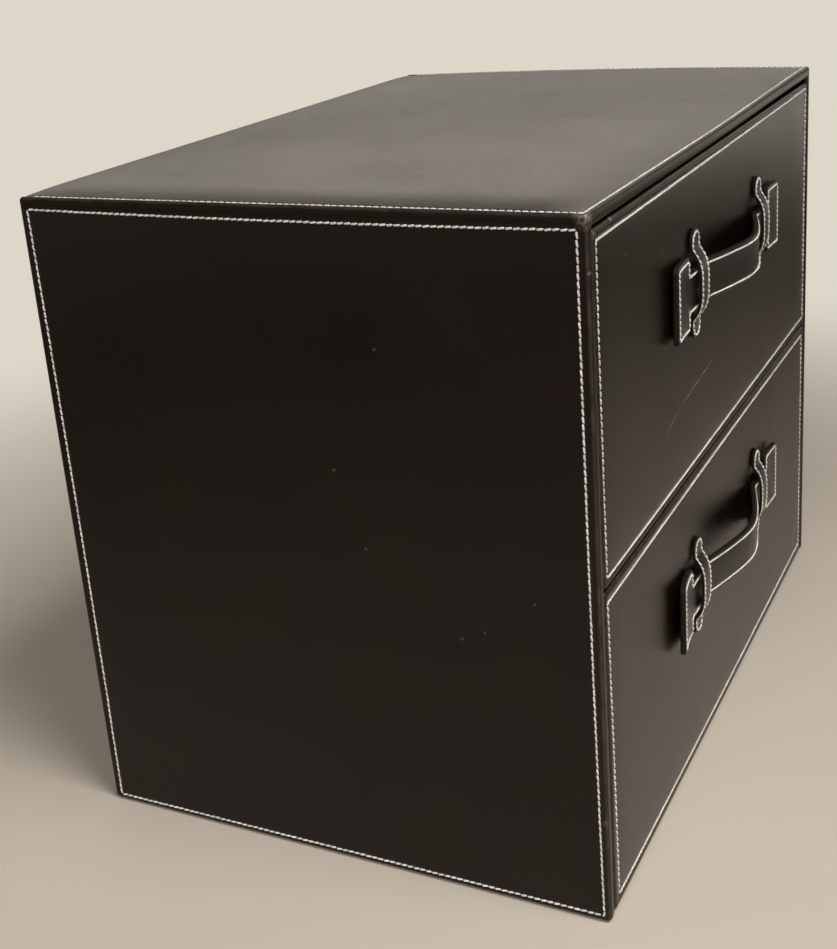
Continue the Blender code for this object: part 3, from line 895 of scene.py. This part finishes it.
def sew_handle(drawer, settings, handles, spread):
    """The rows round a strap and its two keepers."""
    half_length, half_height, middle = on_front(drawer + "_handle_strap")
    row = [middle + Vector((x, 0, z)) for x, z in strap_row(half_length, half_height, handles)]
    pitch = settings.handle_pitch
    strap, body = drawer + "_strap", drawer + "_handle"
    sew(strap + "_stitches", strap, row, FORWARD, pitch, True, body, settings, spread)
    for side in SIDES:
        half_width, half_length, middle = on_front(f"{drawer}_keeper_{side}")
        row = [middle + Vector((x, 0, z)) for z, x in keeper_row(half_length, half_width, handles)]
        keeper, body = f"{drawer}_{side}_keeper", drawer + "_drawer"
        sew(keeper + "_stitches", keeper, row, FORWARD, pitch, True, body, settings, spread)


# Felt

# How far apart the loops of a felt tray and of the other felts lie at most, and how round a flat felt's and a
# folded felt's edges are, in thicknesses
TRAY_STEP = 12 * MM
FELT_STEP = 15 * MM
FLAT_EASE, FOLD_EASE = 0.35, 0.9

# Each felt's own name, the frame's node that it stands for and the board that it lies on
FLAT_FELTS = (
    ("left_side_felt", "side_lining_left", "side_board_left"),
    ("right_side_felt", "side_lining_right", "side_board_right"),
    ("ceiling_felt", "top_lining", "top_board"),
    ("back_felt", "back_lining", "back_board"),
    ("foot_felt", "base_felt", "base_board"),
)
FOLDED_FELTS = (
    ("base_shelf_felt", "base_lining", "base_board"),
    ("middle_shelf_felt", "divider_lining", "divider_board"),
)


def finish_felt(piece, body, node, settings):
    """Shades a felt, and gives it its finish and its place in the frame."""
    smooth()
    piece.data.materials.append(felt_material(piece.name + "_felt", settings))
    finish_piece(piece, body, "felt", node)


def line_tray(drawer, settings):
    """The felt in a drawer: an open tray folded up from one blank, with soft corners."""
    node = drawer + "_felt_lining"
    low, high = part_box(node)
    tray = add_cube(drawer + "_felt_tray", low, high)
    edit()
    cut_out(lambda face: looks(face, UPWARD))
    choose("EDGE", convex)
    bevel(settings.fold_radius, segments=4)
    slice_evenly(low, high, TRAY_STEP, (0, 1, 2))
    edit("OBJECT")
    thicken(tray, settings.thickness)
    finish_felt(tray, drawer + "_drawer", node, settings)


def felt_sheet(name, node, board, settings):
    """A flat sheet of felt glued to a board, with eased edges."""
    low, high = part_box(node)
    size = high - low
    thin, width, long = sorted(size)
    sheet = add_cube(name, low, high)
    edit()
    choose("EDGE", convex)
    bevel(thin * FLAT_EASE, segments=2)
    slice_evenly(low, high, FELT_STEP, [axis for axis in range(3) if size[axis] > thin])
    edit("OBJECT")
    finish_felt(sheet, "cabinet", node, settings)


def fold_over_shelf(name, node, board, settings):
    """The felt folded over a shelf's front edge, and under the shelf too where its node reaches there."""
    low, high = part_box(node)
    under = low.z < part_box(board)[0].z - settings.thickness / 2
    open_ways = [BACKWARD, LEFTWARD, RIGHTWARD] + ([] if under else [DOWNWARD])
    fold = add_cube(name, low, high)
    edit()
    cut_out(lambda face: any(looks(face, way) for way in open_ways))
    choose("EDGE", convex)
    bevel(settings.thickness * FOLD_EASE, segments=4)
    slice_evenly(low, high, FELT_STEP, (0, 1))
    edit("OBJECT")
    thicken(fold, settings.thickness)
    finish_felt(fold, "cabinet", node, settings)


# Materials

# Where the finish is rubbed through, specked or scratched: places in metres, with radii where they have one.
# Dust shows where a fine noise passes "clean", or CLEAN where a piece has no such mark
CLEAN = 0.74
CABINET_MARKS = {
    "worn": [
        # The first spot, on the top's front left corner, is paler colour painted partly as that corner's
        # highlight and partly as its wear
        ((-0.1866, -0.1266, 0.2984), 5.5 * MM),
        ((-0.1866, -0.1274, 0.2782), 1.2 * MM),
        ((-0.1873, -0.1262, 0.0490), 1.4 * MM),
        ((-0.1846, 0.0508, 0.2994), 2.4 * MM),
        ((-0.1846, 0.0146, 0.2994), 1.8 * MM),
        ((-0.1846, -0.0480, 0.2994), 2.2 * MM),
    ],
    "specks": [
        ((-0.1872, -0.0154, 0.1907), 1.0 * MM),
        ((-0.1872, -0.0387, 0.2438), 0.9 * MM),
        ((-0.1872, -0.0270, 0.1573), 1.0 * MM),
        ((-0.1872, -0.0680, 0.1229), 1.0 * MM),
        ((-0.1872, -0.0781, 0.1274), 0.8 * MM),
        ((-0.1872, -0.1004, 0.1437), 0.9 * MM),
    ],
}
FRONT_MARKS = {
    "upper": {
        "clean": 0.69,
        "worn": [((-0.1808, -0.1271, 0.2905), 1.8 * MM), ((-0.1621, -0.1268, 0.2924), 1.6 * MM)],
        "specks": [((-0.1001, -0.1273, 0.2640), 1.1 * MM), ((-0.1468, -0.1273, 0.2750), 1.0 * MM)],
        "scratch": [
            (-0.1008, -0.1273, 0.1840),
            (-0.0779, -0.1273, 0.1890),
            (-0.0538, -0.1273, 0.1914),
            (-0.0245, -0.1273, 0.1939),
        ],
    },
    "lower": {
        "clean": 0.71,
        "specks": [((-0.1205, -0.1273, 0.0930), 0.9 * MM), ((-0.0310, -0.1273, 0.0400), 1.0 * MM)],
    },
}
SCRATCH_WIDTH = 0.7 * MM
DUST = (0.05, 0.042, 0.036)

# On the top the leatherette's shine falls off along this direction, between two places and two values
AWAY = Vector((0.75, 0.66, 0))
SHINE_FALL = (-0.20, 0.02, 0.300, 0.080)
TOP_FROM, TOP_FULL = TOP_Z - 3.5 * MM, TOP_Z - 1.5 * MM


class Recipe:
    """Draws up the nodes of a material or a world, on the coordinates that its patterns follow."""

    def __init__(self, name, blocks=None, space="Object"):
        self.block = (bpy.data.materials if blocks is None else blocks).new(name)
        self.block.use_nodes = True
        self.tree = self.block.node_tree
        self.coordinates = self.node("TexCoord", {}, space)

    def feed(self, target, inputs):
        """Sets a node's inputs to values and colours, or to other nodes' outputs."""
        for name, value in inputs.items():
            socket = target.inputs[name]
            if isinstance(value, bpy.types.NodeSocket):
                self.tree.links.new(value, socket)
            else:
                socket.default_value = (*value, 1.0) if socket.type == "RGBA" else value

    def node(self, kind, inputs, output=0, **settings):
        """The output of a new node."""
        made = self.tree.nodes.new("ShaderNode" + kind)
        for setting, value in settings.items():
            setattr(made, setting, value)
        self.feed(made, inputs)
        return made.outputs[output]

    def shade(self, inputs):
        """Sets the shader's inputs, and gives the finished material."""
        self.feed(self.tree.nodes["Principled BSDF"], inputs)
        return self.block

    def noise(self, size, detail=2.0, roughness=0.5):
        """Soft noise whose blotches are about a size across."""
        inputs = {"Vector": self.coordinates, "Scale": 1 / size, "Detail": detail, "Roughness": roughness}
        return self.node("TexNoise", inputs)

    def spread(self, value, low, high, to_low=0.0, to_high=1.0, **settings):
        """A value between two limits, stretched to two others and held there."""
        inputs = {"Value": value, "From Min": low, "From Max": high, "To Min": to_low, "To Max": to_high}
        return self.node("MapRange", inputs, **settings)

    def eased(self, value, low, high):
        """A value's way between two limits, from 0 to 1, with soft ends."""
        return self.spread(value, low, high, interpolation_type="SMOOTHSTEP")

    def math(self, operation, first, second):
        """Arithmetic on two values."""
        return self.node("Math", {0: first, 1: second}, operation=operation)

    def times(self, first, second):
        """The product of two values."""
        return self.math("MULTIPLY", first, second)

    def vector(self, operation, first, second, output="Value"):
        """Arithmetic on two places."""
        return self.node("VectorMath", {0: first, 1: second}, output, operation=operation)

    def mix(self, share, first, second):
        """A colour between two others."""
        return self.node("MixRGB", {"Fac": share, "Color1": first, "Color2": second})

    def mottled(self, pattern, tone, darker, lighter, low=0.3, high=0.7):
        """A colour that a pattern makes darker and lighter, by two factors."""
        dark, light = [[min(1.0, value * factor) for value in tone] for factor in (darker, lighter)]
        return self.mix(self.spread(pattern, low, high), dark, light)

    def bump(self, height, distance, strength, below=None):
        """Raises the surface by a height, over what another bump has raised."""
        inputs = {"Height": height, "Distance": distance, "Strength": strength}
        return self.node("Bump", {**inputs, "Normal": below} if below else inputs)

    def grain(self, size, depth, strength=0.35):
        """Leather grain: small pebbles with creases between them, over soft dents."""
        inputs = {"Vector": self.coordinates, "Scale": 1 / size, "Randomness": 1.0}
        pebbles = self.node("TexVoronoi", inputs, feature="DISTANCE_TO_EDGE")
        raised = self.spread(pebbles, 0.0, 0.28)
        rough = self.node("Math", {0: self.noise(size * 3), 1: 0.6, 2: raised}, operation="MULTIPLY_ADD")
        return self.bump(rough, depth, strength)

    def nearest(self, distances):
        """How near a place is to the nearest of some things, from pairs of a distance and a radius.

        It is 1 at the thing itself and 0 past its radius.
        """
        found = None
        for distance, radius in distances:
            near = self.spread(distance, 0.0, radius, 1.0, 0.0)
            found = self.math("MAXIMUM", found, near) if found else near
        return found

    def near_spots(self, spots):
        """How near a place is to any of some spots."""
        return self.nearest([(self.vector("DISTANCE", self.coordinates, spot), size) for spot, size in spots])

    def near_line(self, line, half_width):
        """How near a place is to a scratch that runs through the points of a line."""
        distances = []
        for start, end in zip(line, line[1:]):
            start, leg = Vector(start), Vector(end) - Vector(start)
            reach = self.vector("SUBTRACT", self.coordinates, start, "Vector")
            share = self.spread(self.vector("DOT_PRODUCT", reach, leg / leg.length_squared), 0.0, 1.0)
            on_leg = self.node("VectorMath", {0: leg, "Scale": share}, "Vector", operation="SCALE")
            distances.append((self.vector("DISTANCE", reach, on_leg), half_width))
        return self.nearest(distances)


def leatherette_material(name, settings, marks):
    """Satin leatherette: fine grain, soft dents, slow changes of gloss, and paler where it is rubbed and
    along its rounded edges, where the paler colour is partly a painted highlight.

    The top's shine falls off towards its far side.
    """
    recipe = Recipe(name)
    noise_at, spread, times, mix = recipe.noise, recipe.spread, recipe.times, recipe.mix
    worn = settings.rubbed_and_highlight_colour
    body = recipe.mottled(noise_at(45 * MM, 3.0), settings.colour, 0.85, 1.2)
    clean = marks.get("clean", CLEAN)
    body = mix(spread(noise_at(1.1 * MM), clean, clean + 0.06, 0.0, 0.25), body, DUST)
    rounding = recipe.node("Attribute", {}, "Fac", attribute_name="rounding")
    # Along every rounded edge the paler colour stands for rubbing and partly for the edge's highlight:
    # painted highlight
    edge_wear_and_highlight = spread(noise_at(9 * MM, 6.0, 0.7), 0.40, 0.70, 0.06, 0.20)
    body = mix(times(rounding, edge_wear_and_highlight), body, worn)
    if "worn" in marks:
        frayed = spread(noise_at(1.6 * MM, 3.0, 0.7), 0.42, 0.66, 0.05, 0.6)
        body = mix(times(times(recipe.near_spots(marks["worn"]), 1.6), frayed), body, worn)
    if "specks" in marks:
        body = mix(times(recipe.near_spots(marks["specks"]), 0.3), body, worn)
    if "scratch" in marks:
        broken = spread(noise_at(6 * MM, 3.0), 0.35, 0.6, 0.05, 0.6)
        body = mix(times(recipe.near_line(marks["scratch"], SCRATCH_WIDTH), broken), body, worn)
    gloss = noise_at(60 * MM, 3.0)
    fine = recipe.grain(settings.grain, settings.grain_depth)
    dented = recipe.bump(noise_at(14 * MM, 3.0), 0.05 * MM, 0.4, fine)
    height = recipe.node("SeparateXYZ", {0: recipe.coordinates}, "Z")
    on_top = spread(height, TOP_FROM, TOP_FULL)
    dulled = spread(recipe.vector("DOT_PRODUCT", recipe.coordinates, AWAY), *SHINE_FALL)
    inputs = {
        "Base Color": body,
        "Roughness": spread(gloss, 0.3, 0.7, settings.roughness - 0.015, settings.roughness + 0.02),
        "Normal": recipe.bump(noise_at(40 * MM, 2.0, 0.4), 0.16 * MM, 0.5, dented),
        "Specular IOR Level": recipe.node("Mix", {0: on_top, 2: settings.shine, 3: dulled}),
    }
    return recipe.shade(inputs)


def strap_material(name, settings):
    """The straps' face leather: finer grain, in slightly darker and paler blotches."""
    recipe = Recipe(name)
    gloss = recipe.noise(8 * MM, 3.0)
    inputs = {
        "Base Color": recipe.mottled(recipe.noise(12 * MM, 3.0), settings.colour, 0.8, 1.5, 0.35),
        "Roughness": recipe.spread(gloss, 0.3, 0.7, settings.roughness - 0.04, settings.roughness + 0.08),
        "Normal": recipe.grain(0.6 * MM, 0.05 * MM),
        "Specular IOR Level": 0.5,
    }
    return recipe.shade(inputs)


def edge_paint_material(name, settings):
    """The paint on the straps' cut edges: thicker in places, slightly rough."""
    recipe = Recipe(name)
    streaks = recipe.noise(3 * MM, 3.0)
    inputs = {
        "Base Color": recipe.mottled(streaks, settings.edge_colour, 0.6, 1.0),
        "Roughness": 0.6,
        "Normal": recipe.bump(streaks, 0.08 * MM, 0.6),
        "Specular IOR Level": 0.15,
    }
    return recipe.shade(inputs)


def thread_material(settings):
    """Pale twisted thread: its plies wind round each stitch, on the stitch's own map, with painted shade in
    the creases between them.
    """
    recipe = Recipe("sewing_thread")
    wave = {"Vector": recipe.node("UVMap", {}), "Scale": 6.0, "Distortion": 0.6, "Detail": 1.0}
    plies = recipe.node("TexWave", wave, "Fac", bands_direction="DIAGONAL")
    soiled_and_shaded = 0.72
    body = recipe.mottled(recipe.noise(6 * MM), settings.colour, soiled_and_shaded, 1.0, 0.35, 0.6)
    # The creases between the plies are darkened in colour: painted shade. The same factor also darkens the
    # thread at random, as soiling
    crease_shade = recipe.spread(plies, 0.0, 0.4, 0.35, 0.0)
    inputs = {
        "Base Color": recipe.mix(crease_shade, body, [value * soiled_and_shaded for value in settings.colour]),
        "Roughness": 0.7,
        "Normal": recipe.bump(plies, 0.05 * MM, 0.5),
        "Sheen Weight": 0.2,
    }
    return recipe.shade(inputs)


def felt_material(name, settings):
    """Napped felt: tangled fibres in soft tufts."""
    recipe = Recipe(name)
    tufts = recipe.noise(settings.nap, 4.0, 0.65)
    clouds = recipe.spread(recipe.noise(22 * MM, 3.0), 0.3, 0.7, 0.0, 0.4)
    tufted = recipe.bump(tufts, 0.35 * MM, 0.6)
    inputs = {
        "Base Color": recipe.mix(clouds, recipe.mottled(tufts, settings.colour, 0.7, 1.5), settings.colour),
        "Roughness": 0.95,
        "Normal": recipe.bump(recipe.noise(0.25 * MM, 3.0, 0.7), 0.1 * MM, 0.5, tufted),
        "Sheen Weight": 0.35,
        "Sheen Roughness": 0.5,
        "Specular IOR Level": 0.2,
    }
    return recipe.shade(inputs)


def fibreboard_material(settings):
    """Bare fibreboard: pressed brown fibres with paler and darker flecks."""
    recipe = Recipe("bare_fibreboard")
    flecks = recipe.noise(1.2 * MM, 5.0, 0.7)
    inputs = {
        "Base Color": recipe.mottled(flecks, settings.fibreboard, 0.65, 1.3),
        "Roughness": 0.85,
        "Normal": recipe.bump(flecks, 0.08 * MM, 0.4),
    }
    return recipe.shade(inputs)


def paper_material(settings):
    """Black paper on the drawer boards, with a faint fibre."""
    recipe = Recipe("black_board_paper")
    fibre = recipe.noise(0.8 * MM, 4.0, 0.65)
    inputs = {
        "Base Color": recipe.mottled(recipe.noise(30 * MM), settings.paper, 1.0, 1.6, 0.35),
        "Roughness": recipe.spread(fibre, 0.3, 0.7, 0.55, 0.75),
        "Normal": recipe.bump(fibre, 0.05 * MM, 0.4),
    }
    return recipe.shade(inputs)


# The stage: floor, light and camera

# The way from the box across the floor behind it, and where the floor runs into the backdrop: along that way
# and all round in reflections, and all round as the camera sees it
FAR_FLOOR = Vector((0.6, 0.8, 0))
MIRRORED_BEHIND, MIRRORED_ROUND, SEEN_ROUND = (0.4, 1.0), (1.2, 2.2), (0.25, 0.8)

# Where the broad light comes from, how narrow it is, and the heights between which it fades in and out
GLOW_FROM = Vector((0.92, 0.36, 0.14)).normalized()
GLOW_NARROW = (0.7, 0.98)
GLOW_FADES_IN, GLOW_FADES_OUT = (0.05, 0.24), (0.23, 0.34)
GLOW_LEAST = 0.05
GLOW_COLOUR = (1.0, 0.92, 0.79)

# Each lamp's aim, size and spread
KEY_LAMP = ((-0.21, -0.15, 0), 0.9, math.radians(52))
SIDE_LAMP = ((-0.19, 0.0, 0.12), 0.8, math.radians(60))
LAMP_COLOUR = (1.0, 0.98, 0.95)
FLOOR_SIZE = 12


def floor_material(settings):
    """A plain pale floor, very slightly uneven in tone, which runs into the backdrop all round the box."""
    recipe = Recipe("pale_floor")
    body = recipe.mottled(recipe.noise(0.35), settings.floor, 1.0, 1.04)
    recipe.shade({"Base Color": body, "Roughness": 0.6})
    rays = recipe.tree.nodes.new("ShaderNodeLightPath").outputs
    away = recipe.vector("LENGTH", recipe.coordinates, (0, 0, 0))
    behind = recipe.eased(recipe.vector("DOT_PRODUCT", recipe.coordinates, FAR_FLOOR), *MIRRORED_BEHIND)
    behind = recipe.math("MAXIMUM", behind, recipe.eased(away, *MIRRORED_ROUND))
    mirrored = recipe.math("MAXIMUM", rays["Is Glossy Ray"], rays["Is Transmission Ray"])
    seen = recipe.times(rays["Is Camera Ray"], recipe.eased(away, *SEEN_ROUND))
    seen = recipe.math("MAXIMUM", seen, recipe.times(mirrored, behind))
    lit = recipe.tree.nodes["Principled BSDF"].outputs[0]
    pale = recipe.node("Emission", {"Color": settings.backdrop, "Strength": 1.0})
    both = recipe.node("MixShader", {0: seen, 1: lit, 2: pale})
    recipe.feed(recipe.tree.nodes["Material Output"], {"Surface": both})
    return recipe.block


def light_world(scene, settings):
    """A soft fill, brighter from the back right as from a pale wall. The camera sees a plain backdrop."""
    recipe = Recipe("studio", bpy.data.worlds, "Generated")
    scene.world = recipe.block
    camera_rays = recipe.node("LightPath", {}, "Is Camera Ray")
    facing = recipe.vector("DOT_PRODUCT", recipe.coordinates, GLOW_FROM)
    height = recipe.node("SeparateXYZ", {0: recipe.coordinates}, "Z")
    low_down = recipe.spread(height, *GLOW_FADES_OUT, 1.0, 0.0)
    raised = recipe.spread(height, *GLOW_FADES_IN, GLOW_LEAST, 1.0)
    level = recipe.times(recipe.times(recipe.spread(facing, *GLOW_NARROW), low_down), raised)
    level = recipe.spread(level, 0.0, 1.0, settings.fill, settings.glow)
    recipe.feed(recipe.tree.nodes["Background"], {"Color": GLOW_COLOUR, "Strength": level})
    lit = recipe.tree.nodes["Background"].outputs[0]
    seen = recipe.node("Background", {"Color": settings.backdrop, "Strength": 1.0})
    both = recipe.node("MixShader", {0: camera_rays, 1: lit, 2: seen})
    recipe.feed(recipe.tree.nodes["World Output"], {"Surface": both})


def hang_lamp(name, place, power, aim, size, spread):
    """A wide soft lamp."""
    deselect()
    bpy.ops.object.light_add(type="AREA", location=place)
    lamp = bpy.context.object
    lamp.name = name
    lamp.data.shape = "SQUARE"
    lamp.data.size = size
    lamp.data.spread = spread
    lamp.data.energy = power
    lamp.data.color = LAMP_COLOUR
    lamp.rotation_euler = (Vector(aim) - Vector(place)).to_track_quat("-Z", "Y").to_euler()


def place_camera(scene):
    """The camera at the photograph's place and angle, with the photograph's field of view."""
    deselect()
    bpy.ops.object.camera_add(location=CAMERA_PLACE)
    camera = bpy.context.object
    camera.name = "photograph_camera"
    turn = Matrix((CAMERA_RIGHT, -CAMERA_DOWN, -CAMERA_FORWARD)).transposed().to_4x4()
    camera.matrix_world = Matrix.Translation(CAMERA_PLACE) @ turn
    camera.data.sensor_width = SENSOR
    camera.data.lens = FOCAL_PIXELS * SENSOR / PICTURE_HEIGHT
    camera.data.shift_x = SHIFT_LEFT / PICTURE_HEIGHT
    camera.data.shift_y = (PRINCIPAL_ROW - PICTURE_HEIGHT / 2) / PICTURE_HEIGHT
    camera.data.clip_start = 0.01
    scene.camera = camera


# Operators


class DESKBOX_OT_wrap_cabinet(bpy.types.Operator):
    """Wrap the cabinet's sides and top in leatherette and cover its back"""

    bl_idname = "desk_box.wrap_cabinet"
    bl_label = "Wrap Cabinet"
    bl_options = {"REGISTER", "UNDO"}

    def execute(self, context):
        settings = context.scene.desk_box.leatherette
        wrap_cabinet(settings)
        cover_back(settings)
        return {"FINISHED"}


class DESKBOX_OT_wrap_drawers(bpy.types.Operator):
    """Wrap both drawer fronts in leatherette"""

    bl_idname = "desk_box.wrap_drawers"
    bl_label = "Wrap Drawer Fronts"
    bl_options = {"REGISTER", "UNDO"}

    def execute(self, context):
        for drawer in DRAWERS:
            wrap_drawer_front(drawer, context.scene.desk_box.leatherette)
        return {"FINISHED"}


class DESKBOX_OT_handles(bpy.types.Operator):
    """Cut and bend the strap handles and their keepers"""

    bl_idname = "desk_box.handles"
    bl_label = "Strap Handles"
    bl_options = {"REGISTER", "UNDO"}

    def execute(self, context):
        settings = context.scene.desk_box.handles
        for drawer in DRAWERS:
            make_strap(drawer, settings)
            for side in SIDES:
                make_keeper(drawer, side, settings)
        return {"FINISHED"}


class DESKBOX_OT_sewing(bpy.types.Operator):
    """Sew every row of thread on the panels, straps and keepers"""

    bl_idname = "desk_box.sewing"
    bl_label = "Sewing"
    bl_options = {"REGISTER", "UNDO"}

    def execute(self, context):
        settings = context.scene.desk_box.sewing
        handles = context.scene.desk_box.handles
        spread = random.Random(SEED)
        thread_material(settings)

        def sew_panel(name, target, panel, row, closed, body):
            sew(name, target, row, panel.outward, settings.pitch, closed, body, settings, spread)

        panels = cabinet_panels()
        for side in SIDES:
            row = panels[side].row_points(settings.corner)
            sew_panel(side + "_side_stitches", "cabinet_wrap", panels[side], row, True, "cabinet")
        top = panels["top"]
        row = top.row_points(settings.corner, first=3, count=3)
        row = [point for point in row if point.y < TOP_ROW_END]
        sew_panel("top_stitches", "cabinet_wrap", top, row, False, "cabinet")
        for drawer in DRAWERS:
            panel = front_panel(drawer)
            row = panel.row_points(settings.corner)
            target, body = drawer + "_front_wrap", drawer + "_drawer"
            sew_panel(drawer + "_front_stitches", target, panel, row, True, body)
            sew_handle(drawer, settings, handles, spread)
        return {"FINISHED"}


class DESKBOX_OT_felt(bpy.types.Operator):
    """Line the drawers and the cabinet with felt"""

    bl_idname = "desk_box.felt"
    bl_label = "Felt Linings"
    bl_options = {"REGISTER", "UNDO"}

    def execute(self, context):
        settings = context.scene.desk_box.felt
        for drawer in DRAWERS:
            line_tray(drawer, settings)
        for felt in FLAT_FELTS:
            felt_sheet(*felt, settings)
        for felt in FOLDED_FELTS:
            fold_over_shelf(*felt, settings)
        return {"FINISHED"}


class DESKBOX_OT_boards(bpy.types.Operator):
    """Give the boards of the frame their bare fibreboard and black paper"""

    bl_idname = "desk_box.boards"
    bl_label = "Finish Boards"
    bl_options = {"REGISTER", "UNDO"}

    def execute(self, context):
        settings = context.scene.desk_box.boards
        finishes = {"fibreboard": fibreboard_material(settings), "tray_board": paper_material(settings)}
        for part in frame["record"]["subparts"]:
            finish = finishes.get(part["material_slot"])
            board = frame["nodes"][part["node"]]
            if finish and not board.hide_render:
                board.data.materials.clear()
                board.data.materials.append(finish)
        return {"FINISHED"}


class DESKBOX_OT_stage(bpy.types.Operator):
    """Lay the pale floor, light the box softly and set up the camera"""

    bl_idname = "desk_box.stage"
    bl_label = "Stage"
    bl_options = {"REGISTER", "UNDO"}

    def execute(self, context):
        settings = context.scene.desk_box.stage
        floor = add_plane("floor", FLOOR_SIZE, FLOOR_SIZE)
        floor.data.materials.append(floor_material(settings))
        light_world(context.scene, settings)
        hang_lamp("soft_lamp", settings.key_place, settings.key, *KEY_LAMP)
        hang_lamp("side_lamp", settings.side_place, settings.side, *SIDE_LAMP)
        place_camera(context.scene)
        context.scene.view_settings.view_transform = "Standard"
        return {"FINISHED"}


class DESKBOX_PT_panel(bpy.types.Panel):
    """Lists the operators and settings of the desk box in the 3D view's sidebar."""

    bl_idname = "DESKBOX_PT_panel"
    bl_label = "Desk Box"
    bl_space_type = "VIEW_3D"
    bl_region_type = "UI"
    bl_category = "Desk Box"

    def draw(self, context):
        settings = context.scene.desk_box
        for operator in OPERATORS:
            self.layout.operator(operator.bl_idname)
        for name in DESKBOX_PG_settings.__annotations__:
            group = getattr(settings, name)
            box = self.layout.box()
            for setting in group.__annotations__:
                box.prop(group, setting)


OPERATORS = (
    DESKBOX_OT_wrap_cabinet,
    DESKBOX_OT_wrap_drawers,
    DESKBOX_OT_handles,
    DESKBOX_OT_sewing,
    DESKBOX_OT_felt,
    DESKBOX_OT_boards,
    DESKBOX_OT_stage,
)
GROUPS = (
    DESKBOX_PG_leatherette,
    DESKBOX_PG_sewing,
    DESKBOX_PG_handles,
    DESKBOX_PG_felt,
    DESKBOX_PG_boards,
    DESKBOX_PG_stage,
    DESKBOX_PG_settings,
)
CLASSES = (*GROUPS, *OPERATORS, DESKBOX_PT_panel)


def register():
    """Registers the classes and gives the scene its settings."""
    for cls in CLASSES:
        bpy.utils.register_class(cls)
    bpy.types.Scene.desk_box = bpy.props.PointerProperty(type=DESKBOX_PG_settings)


def unregister():
    """Takes the settings and classes away again."""
    del bpy.types.Scene.desk_box
    for cls in reversed(CLASSES):
        bpy.utils.unregister_class(cls)


def main():
    """Builds every piece in order."""
    register()
    bpy.ops.desk_box.wrap_cabinet()
    bpy.ops.desk_box.wrap_drawers()
    bpy.ops.desk_box.handles()
    bpy.ops.desk_box.sewing()
    bpy.ops.desk_box.felt()
    bpy.ops.desk_box.boards()
    bpy.ops.desk_box.stage()


if __name__ == "__main__":
    main()
